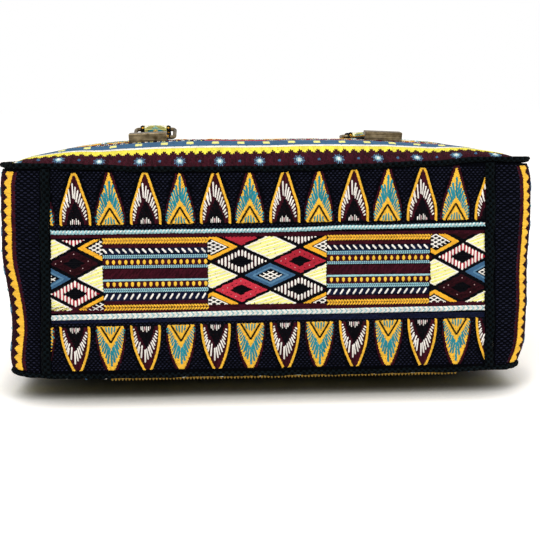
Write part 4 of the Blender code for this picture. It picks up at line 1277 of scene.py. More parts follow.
# %% Panel cloths
corner_rows = BASE_Y + CORNER_RADIUS - (CORNER_RADIUS - PANEL_INSET) * np.cos(np.linspace(0, math.pi / 2, 9))
panel_rows = np.concatenate([corner_rows, np.linspace(BASE_Y + CORNER_RADIUS, MOUTH_Y, 64)[1:]])
panel_cloths = []
for name, place, flip in (("front", on_front, False), ("back", on_back, True)):
    half = half_width(panel_rows, PANEL_INSET)
    part = np.sin(1.25 * np.linspace(-1, 1, 96)) / math.sin(1.25)
    across = half[:, None] * part[None]
    up = np.repeat(panel_rows[:, None], len(part), 1)
    piece = cloth(name + "_cloth", across, up, place, CANVAS, navy_canvas, flip=flip)
    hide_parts(name + "_panel")
    panel_cloths.append(piece)

# %% [markdown]
# The panels' bands are listed by their millimetres from the base. The photograph shows only the first few,
# steeply foreshortened: rosettes, lemon teeth, a cream line and a slate band with straw dashes. The rest
# follows the base's own ornament.

# %% Panel ornament
FOOT = BASE_Y / MM
W = HALF_WIDTH


def panel_ornament(seed, thread):
    """The needlework of a front or back panel, from the base (0 mm) to the mouth (275 mm)."""
    work = Needlework(seed, thread)

    def y(mm):
        return (FOOT + mm) * MM

    def fill(first, last, dye, toward=1.0):
        work.fill([box(-W, W, y(first), y(last))], dye, toward)

    def rosette_row(at, tall=1.0):
        for i in range(-7, 8):
            rosette(work, complex((i * 27.4 - 6.8) * MM, y(at)), 1.0, tall)
            spot = complex((i * 27.4 + 6.9) * MM, y(at))
            work.stitch(spot - 1.3 * MM - 0.6j * MM, spot + 1.3 * MM + 0.6j * MM, "slate", 1.8 * tall * MM, 0.25 * MM)

    def slate_band(first, last):
        fill(first, last, "slate")
        for i in range(-10, 11):
            dash = box((i * 18.1 - 3.6) * MM, (i * 18.1 + 2.4) * MM, y(first + 3.6), y(last - 3.6))
            work.fill([dash], "straw", 1.0, longest=8 * MM, lift=0.2 * MM)

    fill(0, 24.0, "burgundy", 1j)
    rosette_row(9.4, 1.42)
    teeth(work, -W, W, y(23.2), y(17.2), "lemon", 6.3 * MM, y(28.6), longest=13 * MM)
    fill(28.6, 31.6, "cream")
    slate_band(31.6, 43.5)
    for left, right, dyes, pitch in ((-W, -0.045, ("straw", "burgundy", "cream", "slate"), 2.2 * MM),
                                     (0.0, W, ("rose", "cream", "rose", "scarlet"), 2.6 * MM)):
        blocks(work, left, right, y(43.8), y(47.4), dyes, pitch)
    work.fill([box(-0.045, 0.0, y(43.8), y(47.4))], "scarlet", 1.0)
    fill(47.4, 52.0, "burgundy", 1j)
    blocks(work, -W, W, y(52.0), y(56.0), ("crimson", "cream"), 3.0 * MM)
    for foot, up in ((95.0, -1.0), (160.0, 1.0)):
        for k in range(-5, 5):
            white_leaf(work, complex((k * 47.8 + 10) * MM, y(foot)), up)
            teal_leaf(work, complex((k * 47.8 + 34) * MM, y(foot)), up)
    for at in (98.5, 156.0):
        twisted_cord(work, [complex(-W, y(at)), complex(W, y(at))], 3.0 * MM, ("cream", "sky"), 1.2 * MM)
    for left, right in ((-115.2, -44.0), (40.4, 112.4)):
        stripe_block(work, left * MM, right * MM, y(101.5))
    for middle, kinds in ((-154.5, END_LOZENGES), (0.4, MIDDLE_LOZENGES), (155.5, END_LOZENGES)):
        bounds = (max((middle - 43.2) * MM, -W), min((middle + 39.4) * MM, W), y(103.2), y(151.8))
        lozenge_block(work, complex(middle * MM, y(127.2)), bounds, kinds)
    fill(200.0, 203.0, "burgundy")
    blocks(work, -W, W, y(203.0), y(208.0), ("lemon", "cream", "burgundy"), 5.4 * MM)
    fill(212.0, 248.0, "burgundy", 1j)
    teeth(work, -W, W, y(214.0), y(220.8), "lemon", 6.3 * MM, y(209.0), longest=5 * MM)
    rosette_row(230.0)
    teeth(work, -W, W, y(246.0), y(239.2), "lemon", 6.3 * MM, y(252.0), longest=5 * MM)
    fill(252.0, 254.2, "cream")
    slate_band(254.2, 264.0)
    fill(264.0, 276.0, "burgundy", 1j)
    return work


print("panel ornament up to", 276, "mm from the base")

# %% [markdown]
# A panel has so many stitches that it is sewn as two pieces. Behind the bag's lower edge a row of ochre
# stitches peeps out, a piece of its own. Its ochre is a yellow darkened as painted shade of the dim space under the
# bag.

# %% Panel embroidery
y_top = MOUTH_Y - 0.0005
cut = PANEL_INSET + 0.0006
bend = CORNER_RADIUS - cut
arc_points = [complex(CORNER_X + bend * math.sin(a), BASE_Y + CORNER_RADIUS - bend * math.cos(a))
              for a in np.linspace(0, math.pi / 2, 9)]
panel_edge = [*arc_points, complex(W - cut, y_top), complex(-W + cut, y_top),
              *(-np.conj(p) for p in reversed(arc_points))]
panel_embroideries = []
for name, place, flip, thread in (("front", on_front, False, 1.25 * MM), ("back", on_back, True, 1.5 * MM)):
    rows = bounded(np.array(panel_ornament(45, thread).rows), panel_edge)
    is_upper = (rows[:, 1] + rows[:, 3]) / 2 > BASE_Y + 0.1282
    for half_name, chosen in (("lower", ~is_upper), ("upper", is_upper)):
        panel_embroideries.append(sew(f"{name}_embroidery_{half_name}", rows[chosen], place, flip))
edge_work = Needlework(52)
edge_line = [complex(-0.113, BASE_Y + 0.0095), complex(0.135, BASE_Y + 0.0085)]
# This ochre is yellow darkened as painted shade, where the edge lies in the dim space under the bag.
edge_work.satin(edge_line, "ochre", 2.0 * MM, 50, 2.4 * MM, 0.5 * MM, 0.7)
panel_embroideries.append(sew("back_edge_stitching", np.array(edge_work.rows), on_back, True))

# %% [markdown]
# ## Seam tape
# A cotton tape is folded over the raw edges and stitched through. It is soft, so its thickness varies along
# the seam, and it pulls in a little at each stitch.

# %% Swept tapes
def rounded(across, tall, points=14, power=3.0):
    """A rounded bar's section, as (a, b) about its centre."""
    angle = np.linspace(0, 2 * math.pi, points, endpoint=False)
    c, s = np.cos(angle), np.sin(angle)
    reach = (np.abs(c) ** power + np.abs(s) ** power) ** (-1 / power)
    return np.stack([across / 2 * reach * c, tall / 2 * reach * s], 1)


def run_along(points):
    """Length along a line at each of its points."""
    return np.concatenate([[0], np.cumsum(np.linalg.norm(np.diff(points, axis=0), axis=1))])


def swept(name, centres, ways_a, ways_b, section, look, closed=False, lumps=0.0, seed=0.0):
    """Carries a section along a line, with small lumps, and closes the ends."""
    count, points = len(centres), len(section)
    run, girth = run_along(centres), run_along(section)
    grown = np.ones((count, points))
    if lumps:
        turn = np.arange(points) * 0.9
        grown = 1 + lumps * (waves(run[:, None] / 0.007 + seed, turn[None] + seed) * 0.55
                            + 0.6 * waves(run[:, None] / 0.0026, turn[None] * 1.7 + 5))
    made = (centres[:, None] + ways_a[:, None] * (section[None, :, :1] * grown[..., None])
            + ways_b[:, None] * (section[None, :, 1:] * grown[..., None]))
    flat = np.stack([np.repeat(run[:, None], points, 1), np.repeat(girth[None], count, 0),
                     np.zeros((count, points))], -1)
    index = np.arange(count * points).reshape(count, points)
    nexts = np.roll(index, -1, axis=1)
    if closed:
        low, high = index, np.roll(index, -1, axis=0)
        low_n, high_n = nexts, np.roll(nexts, -1, axis=0)
    else:
        low, high, low_n, high_n = index[:-1], index[1:], nexts[:-1], nexts[1:]
    faces = np.stack([low, low_n, high_n, high], -1).reshape(-1, 4).tolist()
    if not closed:
        faces += [index[0][::-1].tolist(), index[-1].tolist()]
    return new_piece(name, made.reshape(-1, 3), faces, [look], attributes={"cloth": flat.reshape(-1, 3)})


def unit(vectors):
    """Vectors of length one in the same directions."""
    return vectors / np.linalg.norm(vectors, axis=-1, keepdims=True)


print("a section:", rounded(2, 1, 4).round(2).tolist())

# %% [markdown]
# One tape binds each long seam without a break: up the left side, round the base and up the right side. It
# stands outward over the raw edges at 45 degrees, so that its faces look along the two cloths that it joins.

# %% Long seam tapes
def long_tape(name, upward, node):
    """The tape of one long seam: up the left side, round the base and up the right side."""
    run = np.concatenate([np.arange(0, CORNER_X, 0.0011), np.linspace(CORNER_X, CORNER_X + CORNER_RUN, 22)[:-1],
                          np.linspace(CORNER_X + CORNER_RUN, STRIP_END, 160)])
    x, y, out_x, out_y = strip_line(run)
    x, y = np.concatenate([-x[:0:-1], x]), np.concatenate([y[:0:-1], y])
    out_x, out_y = np.concatenate([-out_x[:0:-1], out_x]), np.concatenate([out_y[:0:-1], out_y])
    z = seam_z(y) if upward > 0 else np.full_like(y, BACK_SEAM_Z)
    zero = np.zeros_like(x)
    outward, up = np.stack([out_x, out_y, zero], 1), np.stack([zero, zero, zero + upward], 1)
    centre = settle(np.stack([x, y, z], 1)) + (outward + up) * (0.0007 if upward > 0 else -0.0001)
    along = np.cumsum(np.hypot(np.gradient(x), np.gradient(y)))
    centre += up * (0.00035 * waves(along / 0.013, 0 * along + 40 + upward))[:, None]
    ways_a, ways_b = unit(outward + up), unit(outward - up)
    if upward < 0:
        ways_b = -ways_b
    across, tall = (0.0039, 0.0029) if upward > 0 else (0.0037, 0.0028)
    piece = swept(name, centre, ways_a, ways_b, rounded(across, tall, 16, 2.4), binding_tape, lumps=0.34,
                  seed=3 + upward)
    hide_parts(node)
    return piece


tapes = [long_tape("front_seam_binding", 1, "front_seam_tape"), long_tape("back_seam_binding", -1, "back_seam_tape")]
print("long tapes:", [piece.name for piece in tapes])

# %% [markdown]
# Two short tapes cover the joins between the base and the gussets, from the back seam's curl up to the front
# seam's droop.

# %% Base seam tapes
for side, word in ((-1, "left"), (1, "right")):
    z = np.linspace(SIDE_LOW_Z, BASE_HIGH_Z, 140)
    x = side * base_seam_x(z)
    z = base_low(x) + (base_high(x) - base_low(x)) * np.linspace(0, 1, 140)
    centre = settle(np.stack([x, np.full_like(z, BASE_Y - 0.0002), z], 1), droops=False)
    centre[:, 0] += 0.0007 * waves(z / 0.016 + 3 * side, z * 0) + 0.0003 * waves(z / 0.006 + 3 * side, z * 0 + 8)
    ones, zero = np.ones_like(z), np.zeros_like(z)
    piece = swept("base_seam_binding_" + word, centre,
                  np.stack([ones, zero, zero], 1), np.stack([zero, ones, zero], 1),
                  rounded(0.0060, 0.0040, 16, 2.4), binding_tape, lumps=0.34, seed=side * 2.0)
    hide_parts("base_tape_" + word)
    tapes.append(piece)
print("tapes:", len(tapes))

# %% [markdown]
# The open mouth is bound with one closed loop of tape. Half of it is drawn, from the middle of the front
# round the side to the middle of the back, and is then mirrored.

# %% Mouth tape
WALL = 0.0029
side_x, turn = HALF_WIDTH - WALL / 2, 0.005
inner_x = side_x - turn
xs = np.linspace(0, inner_x, 60)
front_run = np.stack([xs, front_z(xs, np.full_like(xs, MOUTH_Y)) - WALL / 2], 1)
back_run = np.stack([xs[::-1], back_z(xs[::-1], np.full_like(xs, MOUTH_Y)) + WALL / 2], 1)
quarter = np.linspace(0, math.pi / 2, 7)[1:]
top_z, low_mid = front_run[-1, 1] - turn, back_run[0, 1] + turn
corner_top = np.stack([inner_x + turn * np.sin(quarter), top_z + turn * np.cos(quarter)], 1)
side_zs = np.linspace(top_z, low_mid, 44)[1:-1]
side_run = np.stack([side_x + side_swell(np.full_like(side_zs, MOUTH_Y), side_zs), side_zs], 1)
low_quarter = np.concatenate([[0], quarter])[:-1]
corner_low = np.stack([inner_x + turn * np.cos(low_quarter), low_mid - turn * np.sin(low_quarter)], 1)
right_half = np.concatenate([front_run, corner_top, side_run, corner_low, back_run])
loop = np.concatenate([right_half, (right_half * [-1, 1])[-2:0:-1]])
centres = np.stack([loop[:, 0], np.full(len(loop), MOUTH_Y + GAP + 0.0031), loop[:, 1]], 1)
tangent = unit(np.roll(centres, -1, 0) - np.roll(centres, 1, 0))
forward = np.tile([0.0, 1.0, 0.0], (len(loop), 1))
outward = np.cross(tangent, forward)
mouth = swept("mouth_binding", centres, outward, forward, rounded(0.0050, 0.0062), binding_tape, closed=True,
              lumps=0.06)
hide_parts("mouth_tape")
tapes.append(mouth)
print("mouth", round(2 * side_x, 3), "m wide")

# %% [markdown]
# ## Lining and pocket
# The lining is a thin twill bag inside the canvas. It is sewn in at the mouth and hangs in loose folds down to
# the board. Its rings follow the panels' own surfaces a little further in, so that the two can't cross.

# %% Rings of the lining
inset = LINING_INSET
SLOPE_STEP = 0.0005
floor_y = BASE_Y + CANVAS + BOARD + 2 * GAP
lining_ys = np.concatenate([[floor_y], np.linspace(floor_y + 0.004, MOUTH_Y, 42)])
rings = []
for y in lining_ys:
    half = float(half_width(y, inset))
    xs = half * np.sin(1.25 * np.linspace(-1, 1, 61)) / math.sin(1.25)
    ys = np.full_like(xs, y)

    def depth(surface):
        limit = float(half_width(y)) - 2 * SLOPE_STEP
        slope_x, slope_y = slopes(surface, np.clip(xs, -limit, limit), ys, SLOPE_STEP)
        return inset * np.sqrt(1 + slope_x**2 + slope_y**2)

    front = front_z(xs, ys) - depth(front_z)
    back = (back_z(xs, ys) + depth(back_z))[::-1]
    zs = np.linspace(front[-1], back[0], 30)[1:-1]
    swell = half + side_swell(np.full_like(zs, y), zs)
    rings.append(np.concatenate([np.stack([xs, ys, front], 1), np.stack([swell, zs * 0 + y, zs], 1),
                                 np.stack([xs[::-1], ys, back], 1), np.stack([-swell, zs * 0 + y, zs[::-1]], 1)]))
rings = np.array(rings)
print("rings and points:", rings.shape[:2])

# %% [markdown]
# The inner wall lies one cloth's thickness inside these rings, plus the folds. The closed end is made of
# rings that shrink toward the middle, because one large flat face would shade badly.

# %% Walls of the lining
around = np.roll(rings, -1, 1) - np.roll(rings, 1, 1)
inward = unit(np.cross(np.tile([0.0, 1.0, 0.0], rings.shape[:2] + (1,)), around))
middle_point = rings.mean(axis=1, keepdims=True)
inward *= np.sign(((middle_point - rings) * inward).sum(-1, keepdims=True))
folds = 0.0010 * waves(np.arange(rings.shape[1])[None] / 7.0, lining_ys[:, None] / 0.05) ** 2 + 0.0005
held = share((lining_ys[:, None] - floor_y) / 0.02) * share((MOUTH_Y - lining_ys[:, None]) / 0.03)
inner = rings + inward * (LINING + folds * held)[..., None]
inner[0, :, 1] += LINING + GAP
walls = []
for wall_rings in (rings, inner):
    centre = wall_rings[0].mean(axis=0)
    end_rings = [centre + (wall_rings[0] - centre) * size for size in (0.02, 0.2, 0.4, 0.6, 0.8, 0.93, 0.985)]
    walls.append(np.concatenate([end_rings, wall_rings]))
count, ring_count = rings.shape[1], len(walls[0])
points = settle(np.concatenate([wall_rings.reshape(-1, 3) for wall_rings in walls]))
index = np.arange(ring_count * count).reshape(ring_count, count)
nexts = np.roll(index, -1, 1)
wall = np.stack([index[:-1], nexts[:-1], nexts[1:], index[1:]], -1).reshape(-1, 4)
shift = ring_count * count
rim = np.stack([index[-1], nexts[-1], nexts[-1] + shift, index[-1] + shift], -1)
faces = wall.tolist() + (wall[:, ::-1] + shift).tolist() + rim.tolist()
faces += [index[0][::-1].tolist(), (index[0] + shift).tolist()]
around_run = np.cumsum(np.linalg.norm(around, axis=-1) / 2, axis=1)
end_flat = walls[0][:-len(rings)][..., [0, 2, 1]]
wall_flat = np.stack([around_run, np.repeat(lining_ys[:, None], count, 1), around_run * 0], -1)
flat = np.concatenate([end_flat, wall_flat]).reshape(-1, 3)
lining_cloth = new_piece("lining_cloth", points, faces, [lining_twill],
                         attributes={"cloth": np.concatenate([flat, flat])})
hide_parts("lining")
print("lining:", ring_count, "rings of", count, "points in each wall")

# %% [markdown]
# The slip pocket on the lining's back wall is one flat piece sewn down on three sides, so it puffs a little.

# %% Slip pocket
pocket_low, pocket_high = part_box("inner_pocket")
xs = np.linspace(pocket_low[0], pocket_high[0], 60)
ys = np.linspace(pocket_low[1], pocket_high[1], 44)
grid_x, grid_y = np.meshgrid(xs, ys)


def on_pocket(x, y, height):
    """Place of pocket points (x, y) at a height off the pocket."""
    edge = share((0.090 - np.abs(x)) / 0.012) * share((y - pocket_low[1]) / 0.012)
    puff = 0.0010 * edge * (1 + waves(x / 0.03, y / 0.025)) * 0.5
    return np.stack([x, y, pocket_low[2] + 0.0010 + puff + height], 1)


pocket_cloth = cloth("pocket_cloth", grid_x, grid_y, on_pocket, 0.0009, lining_twill)
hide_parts("inner_pocket")

# %% [markdown]
# ## Straps
# Each handle is a flat woven strap, folded round its rings' bars and sewn down. A strap can't bend sideways
# in its own plane, so where the arch turns, it twists on its edge.

# %% Strap route
EYE_RADIUS, AXIS_HEIGHT = 0.00325, 0.00355
RING_LENGTH, BAR, CLEAR = 0.020, 0.0016, 0.00025
FRONT_REACH, BACK_REACH, FRONT_DROP = 0.088, 0.138, 0.106
# Each row of an arch: shares of the strap's place across, of its reach and of its drop, its lean and its turn.
FRONT_ARCH = ((0.976, 0.004, -0.009, 10, 22), (0.941, 0.36, 0.113, 35, 45), (0.812, 0.68, 0.434, 60, 70),
              (0.553, 0.89, 0.783, 75, 87), (0.282, 0.98, 0.953, 80, 90), (0, 1, 1, 80, 90))
BACK_ARCH = ((0.988, 0.28, 30), (0.918, 0.54, 66), (0.718, 0.79, 86), (0.40, 0.95, 90), (0.0, 1.0, 90))
# The left front ring stands this many degrees higher than its strap, as in the photograph.
LEFT_RING_LIFT = 20.0


def face_z(x, y, facing):
    """Height of one panel at one place."""
    surface = front_z if facing > 0 else back_z
    return float(surface(np.array([x]), np.array([y]))[0])


def hinge_z(facing):
    """Height of the rings' near bars."""
    return face_z(STRAP_X - STRAP_WIDTH / 2, HINGE_Y - EYE_RADIUS, facing) + facing * AXIS_HEIGHT


def ring_tilt(side, facing):
    """How far a ring is tilted up from level, in radians."""
    if facing < 0:
        return 0.0
    middle_y = HINGE_Y + RING_LENGTH / 2
    slope = (face_z(STRAP_X, middle_y + 0.0005, 1) - face_z(STRAP_X, middle_y - 0.0005, 1)) / 0.001
    return math.atan2(slope, 1.0) + (math.radians(LEFT_RING_LIFT) if side < 0 else 0.0)


def far_bar(side, facing):
    """Middle of a ring's far bar, which carries the handle."""
    tilt = ring_tilt(side, facing)
    return np.array([side * STRAP_X, HINGE_Y + RING_LENGTH * math.cos(tilt),
                     hinge_z(facing) + RING_LENGTH * math.sin(tilt)])


print("left front ring", round(math.degrees(ring_tilt(-1, 1)), 1), "degrees up")

# %% [markdown]
# Each leg of a handle starts at its ring's far bar, lies on the cloth, and goes on past the mouth into the
# arch. A smooth line runs through a few such places, and the strap turns along it.

# %% Handle lines
def half_height(turn):
    """Half of a strap's height where it is turned about its own length."""
    return STRAP_WIDTH / 2 * math.sin(math.radians(turn)) + PLY * math.cos(math.radians(turn))


def smooth_route(rows, steps):
    """A smooth line through rows of numbers (Catmull-Rom)."""
    rows = np.array(rows, float)
    rows = np.concatenate([[2 * rows[0] - rows[1]], rows, [2 * rows[-1] - rows[-2]]])
    route = []
    for a, b, c, d in zip(rows, rows[1:], rows[2:], rows[3:]):
        for step in range(steps):
            t = step / steps
            route.append(0.5 * (2 * b + (c - a) * t + (2 * a - 5 * b + 4 * c - d) * t * t
                                + (3 * b - a - 3 * c + d) * t**3))
    route.append(rows[-2])
    return np.array(route)


def front_leg(side):
    """Rows of the front handle's half: a place in space, a lean and a turn."""
    bar = far_bar(side, 1)
    over_mouth = face_z(STRAP_X, MOUTH_Y, 1) + 0.0025
    rows = [(bar[0], bar[1] + EYE_RADIUS - PLY / 2, bar[2], 0, 0)]
    for ahead, turn in ((0.022, 0), (0.050, 4), (0.080, 10)):
        y = bar[1] + ahead
        z = face_z(STRAP_X - STRAP_WIDTH / 3, y, 1) + half_height(turn) + 2 * GAP
        rows.append((side * STRAP_X, y, z, 0, turn))
    for out_x, out_y, drop, lean, turn in FRONT_ARCH:
        z = over_mouth + half_height(22) + GAP - FRONT_DROP * drop
        rows.append((side * STRAP_X * out_x, MOUTH_Y + FRONT_REACH * out_y, z, lean, turn))
    return rows


def back_leg(side):
    """Rows of the back handle's half, which lies on the floor and then stands on its edge."""
    bar = far_bar(side, -1)
    under = half_height(0) + GAP / 2
    rows = [(bar[0], bar[1] + EYE_RADIUS - PLY / 2, bar[2], 0, 0), (bar[0], bar[1] + 0.022, under, 0, 0),
            (bar[0], MOUTH_Y + 0.0062, under, 0, 0)]
    for out_x, out_y, turn in BACK_ARCH:
        rows.append((side * STRAP_X * out_x, MOUTH_Y + BACK_REACH * out_y, half_height(turn) + GAP / 2, 0, turn))
    return rows


def handle_line(leg):
    """Centres, width directions and thickness directions along a whole handle."""
    left, right = leg(-1), leg(1)
    route = smooth_route(left + list(reversed(right[:-1])), 14)
    turn, lean = np.radians(route[:, 4]), np.radians(route[:, 3])
    centres = route[:, :3].copy()
    along = unit(np.gradient(centres, axis=0))
    away = np.stack([np.zeros(len(route)), np.sin(lean), np.cos(lean)], 1)
    away = unit(away - along * (away * along).sum(1)[:, None])
    flat = np.cross(away, along)
    width_way = flat * np.cos(turn)[:, None] + away * np.sin(turn)[:, None]
    thick_way = np.cross(along, width_way)
    clear_of_floor = STRAP_WIDTH / 2 * np.abs(width_way[:, 2]) + PLY * np.abs(thick_way[:, 2]) + GAP / 2
    centres[:, 2] = np.maximum(centres[:, 2], clear_of_floor)
    return centres, width_way, thick_way


print("front handle reaches", round(float(handle_line(front_leg)[0][:, 1].max()), 4), "m toward +Y")

# %% [markdown]
# The strap's pattern is a row of lozenges, amber on teal on straw, between dark edges with marigold flecks.
# It is sewn flat, by the strap's length and width, and then carried along the strap's line.

# %% Strap cloth and its pattern
def strap(name, centres, width_way, thick_way, node, body, flip=False):
    """A folded strap: a rounded flat bar along its line."""
    section = rounded(STRAP_WIDTH - 0.0003, 2 * PLY, 22, 5.0)
    piece = swept(name, centres, width_way, thick_way, section, strap_canvas)
    if flip:
        piece.data.flip_normals()
    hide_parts(node)
    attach(piece, body)


def strap_ornament(length, seed):
    """Lozenges of amber and teal on straw, between dark edges."""
    work = Needlework(seed, 1.0 * MM)
    step = 13.0 * MM
    half = 9.6 * MM
    count = int(length / step) + 2
    work.fill([box(0, length, -half, half)], "straw", 1j, 1.2 * MM, longest=20 * MM, height=0.16)
    for i in range(count):
        centre = i * step
        work.fill([rhomb(centre, step * 0.46, half * 0.92)], "teal", 1j, longest=20 * MM, lift=0.1 * MM)
        work.fill([rhomb(centre, step * 0.24, half * 0.48)], "amber", 1j, longest=20 * MM, lift=0.2 * MM)
        work.stitch(centre - 1j * MM, centre + 1j * MM, "cream", 1.3 * MM, 0.4 * MM)
        gap = centre + step * 0.5
        for side in (-1, 1):
            wedge = ring_of([gap - 3.2 * MM, gap + 3.2 * MM, gap]) + 1j * side * half * np.array([0.96, 0.96, 0.42])
            work.fill([wedge], "cream", 1j, longest=4 * MM, lift=0.12 * MM)
    for side in (-1, 1):
        edge = side * (half + 1.0 * MM)
        work.satin([complex(0, edge), complex(length, edge)], ("ink", "ink", "marigold"), 2.2 * MM, 70, 1.5 * MM,
                   0.1 * MM)
    return work


print("stitches in 100 mm of strap:", len(strap_ornament(0.1, 71).rows))

# %% [markdown]
# A strap is a rounded flat bar, so its faces sink toward both edges, and the stitches sink with them. Where
# the back handle lies on the floor they are pressed flat.

# %% Dress a strap
PATTERN_HALF = 0.0119  # the pattern stops just inside the strap's edges


def off_floor(points):
    """Presses stitches flat where the strap lies on the floor."""
    points[:, 2] = np.maximum(points[:, 2], 0.04 * MM)
    return points


def sunk_edge(across):
    """Height of a strap's face as a share of its height in the middle."""
    return np.sqrt(np.maximum(1 - (np.abs(across) / (STRAP_WIDTH / 2)) ** 6, 0))


def along_line(centres, width_way, thick_way, facing):
    """Place of cloth points (run, across) on one face of a strap."""
    run = run_along(centres)

    def pick(values, at):
        return np.stack([np.interp(at, run, values[:, i]) for i in range(3)], 1)

    def place(at, across, height):
        off = facing * (PLY * sunk_edge(across) + height)
        return off_floor(pick(centres, at) + pick(width_way, at) * across[:, None]
                         + pick(thick_way, at) * off[:, None])

    return place, run[-1]


def dress_strap(name, line, body, seed, faces=(1, -1)):
    """Sews the strap pattern on one or both faces of a strap."""
    for facing in faces:
        place, length = along_line(*line, facing)
        work = strap_ornament(length, seed)
        rows = bounded(np.array(work.rows), box(0.0006, length - 0.0006, -PATTERN_HALF, PATTERN_HALF))
        piece = sew(f"{name}_{'outer' if facing > 0 else 'inner'}", rows, place, flip=facing > 0)
        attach(piece, body)


print("strap", STRAP_WIDTH / MM, "mm wide and", 2 * PLY / MM, "mm thick")

# %% [markdown]
# The strap's end is folded round its ring's bar. The fold is a closed band with the same pattern, pressed
# flatter, because the ring leaves it little room.

# %% Fold round a bar
def eye(name, axis, body):
    """The strap's fold round a ring's bar."""
    angle = np.linspace(0, 2 * math.pi, 25)
    centre = (EYE_RADIUS + BAR + CLEAR) / 2
    thick = EYE_RADIUS - BAR - CLEAR
    centres = np.stack([np.full_like(angle, axis[0]), axis[1] + centre * np.cos(angle),
                        axis[2] + centre * np.sin(angle)], 1)[:-1]
    ways_a = np.tile([1.0, 0.0, 0.0], (24, 1))
    ways_b = np.stack([0 * angle, np.cos(angle), np.sin(angle)], 1)[:-1]
    section = rounded(STRAP_WIDTH - 0.0003, thick, 18, 5.0)
    piece = swept(name, centres, ways_a, ways_b, section, strap_canvas, closed=True)

    def round_bar(at, across, height):
        out, turned = centre + thick / 2 * sunk_edge(across) + height, at / EYE_RADIUS
        return off_floor(np.stack([axis[0] + across, axis[1] + out * np.cos(turned),
                                   axis[2] + out * np.sin(turned)], 1))

    turn = 2 * math.pi * EYE_RADIUS
    rows = bounded(np.array(strap_ornament(turn, 83).rows), box(0, turn, -PATTERN_HALF, PATTERN_HALF))
    rows[:, 5:7] *= 0.4
    pattern = sew(name + "_pattern", rows, round_bar, flip=True)
    for made in (piece, pattern):
        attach(made, body)


print("a fold is", round(2 * math.pi * EYE_RADIUS / MM, 1), "mm round")

# %% [markdown]
# Four short straps are sewn flat on the panels. Each rises over its last few millimetres to the ring's near
# bar and folds round it. A metal end cap closes its low end.

# %% Anchor straps
for facing, face in ((1, "front"), (-1, "back")):
    surface = front_z if facing > 0 else back_z
    for side, word in ((-1, "left"), (1, "right")):
        x = side * STRAP_X
        split_y = HINGE_Y - 0.012
        ys = np.linspace(ANCHOR_Y, split_y, 40)
        xs = np.full_like(ys, x)
        slope_x, slope_y = slopes(surface, xs, ys, SLOPE_STEP)
        width_way = unit(np.stack([np.ones_like(ys), 0 * ys, slope_x], 1))
        ahead = unit(np.stack([0 * ys, np.ones_like(ys), slope_y], 1))
        thick_way = np.cross(width_way, ahead)
        centres = np.stack([xs, ys, surface(xs, ys)], 1) + thick_way * facing * (GAP + PLY)
        axis = np.array([x, HINGE_Y, hinge_z(facing)])
        meets = axis - [0, EYE_RADIUS - PLY / 2, 0]
        t = np.linspace(0, 1, 9)[1:, None]
        centres = np.concatenate([centres, centres[-1] * (1 - t) + meets * t])
        width_way = np.concatenate([width_way, unit(width_way[-1] * (1 - t) + np.array([1.0, 0, 0]) * t)])
        thick_way = np.concatenate([thick_way, unit(thick_way[-1] * (1 - t) + np.array([0, 0, 1.0]) * t)])
        name = f"anchor_{face}_{word}"
        strap(name + "_strap", centres, width_way, thick_way, f"anchor_strap_{face}_{word}", "bag", flip=True)
        dress_strap(name + "_pattern", (centres, width_way, thick_way), "bag", 61, faces=(facing,))
        eye(name + "_fold", axis, "bag")
print("anchor straps from", ANCHOR_Y, "to", HINGE_Y, "m")

# %% [markdown]
# A handle swings with its two rings, so its strap, the pattern and the folds all ride on the handle's body.

# %% Handles
for leg, facing, face in ((front_leg, 1, "front"), (back_leg, -1, "back")):
    line = handle_line(leg)
    body = face + "_handle"
    strap(face + "_handle_strap", *line, "handle_" + face, body)
    dress_strap(face + "_handle_pattern", line, body, 71)
    for side, word in ((-1, "left"), (1, "right")):
        eye(f"{face}_handle_fold_{word}", far_bar(side, facing), body)
    print(face, "handle:", len(line[0]), "places along its line")

# %% [markdown]
# ## Metal
# The rings and end caps are plated steel with an aged bronze finish: brown, rubbed brighter in patches,
# with fine brush marks.

# %% Aged bronze
bronze, tree, shader = new_material("aged_bronze_plate")
place_node = add_node(tree, "TexCoord")
stretched = add_node(tree, "Mapping", {"Vector": place_node.outputs["Object"], "Scale": (40.0, 1500.0, 1500.0)})
brush = add_node(tree, "TexNoise", {"Vector": stretched.outputs[0], "Scale": 1.0, "Detail": 3.0})
cloud = add_node(tree, "TexNoise", {"Vector": place_node.outputs["Object"], "Scale": 220.0, "Detail": 4.0})
both = combine(tree, "MULTIPLY", cloud.outputs["Fac"], brush.outputs["Fac"])
worn = blend(tree, remap(tree, both, (0.14, 0.38)), "#463A26", "#A89676")
scratch = add_node(tree, "Bump", {"Height": brush.outputs["Fac"], "Strength": 0.25, "Distance": 0.0001})
feed(tree, shader, {"Base Color": worn, "Metallic": 1.0, "Normal": scratch.outputs[0],
                    "Roughness": remap(tree, brush.outputs["Fac"], end=(0.25, 0.5))})
for face in ("front", "back"):
    for word in ("left", "right"):
        for node in (f"ring_{face}_{word}", f"end_cap_{face}_{word}"):
            held = bpy.data.objects[node]
            for slot in held.material_slots:
                slot.material = bronze
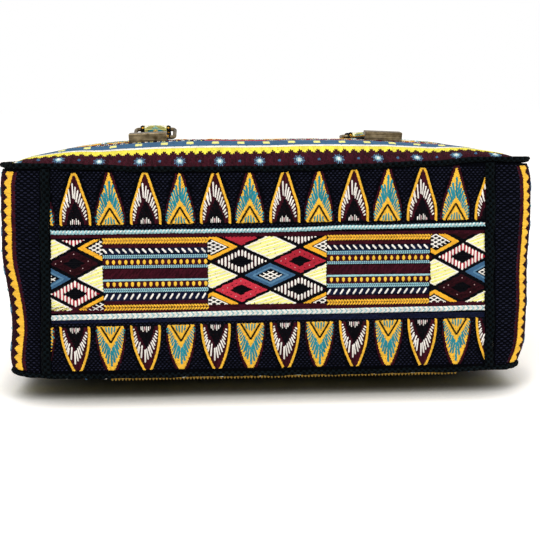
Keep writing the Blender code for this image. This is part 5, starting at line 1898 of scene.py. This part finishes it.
print("bronze on four rings and four end caps")

# %% [markdown]
# ## Board
# A grey millboard between the base cloth and the lining keeps the base flat. It is pressed paper, matt and
# finely speckled, and it slumps with the cloth in front of it.

# %% Stiff board
board_paper, tree, shader = new_material("grey_millboard")
speck = add_node(tree, "TexNoise", {"Scale": 900.0, "Detail": 2.0})
feed(tree, shader, {"Base Color": blend(tree, speck.outputs["Fac"], "#77736B", "#A19C90"), "Roughness": 0.9})
board_low, board_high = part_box("base_board")
shares_across, shares_up = np.meshgrid(np.linspace(-1, 1, 60), np.linspace(0, 1, 40))
board_x = shares_across * board_high[0]


def on_board(x, z, height):
    """Place of board points behind the base cloth, at a height off the board's face."""
    return settle(np.stack([x, board_low[1] - height, z], 1))


board = cloth("millboard", board_x, board_low[2] + (board_high[2] - board_low[2]) * shares_up, on_board,
              board_high[1] - board_low[1], board_paper)
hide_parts("base_board")
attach(board, "bag")
print("board", [round(float(h - l), 4) for h, l in zip(board_high, board_low)])

# %% [markdown]
# ## Last steps
# Every soft piece is told which body it rides on.

# %% Ride and finish
for piece in (base_cloth, base_embroidery, *gusset_cloths, *gusset_embroideries, *panel_cloths,
              *panel_embroideries):
    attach(piece, "bag")
for piece in tapes:
    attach(piece, "bag")
for piece in (lining_cloth, pocket_cloth):
    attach(piece, "bag")

# Each cloth's cut size: its width, its length and, where the cut isn't a rectangle, its flat area.
for piece, width, length, area, seam, sewn_on in (
    (panel_cloths[0], 0.363, 0.281, 0.1010, "front_seam_binding", panel_embroideries[:2]),
    (panel_cloths[1], 0.359, 0.277, 0.0985, "back_seam_binding", panel_embroideries[2:]),
    (base_cloth, 0.308, 0.147, 0.0438, "front_seam_binding", [base_embroidery]),
    (gusset_cloths[0], 0.297, 0.145, 0.0395, "front_seam_binding", gusset_embroideries[:1]),
    (gusset_cloths[1], 0.297, 0.145, 0.0395, "front_seam_binding", gusset_embroideries[1:]),
    (pocket_cloth, 0.180, 0.125, None, "lining_cloth", []),
):
    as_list(sewn_on)
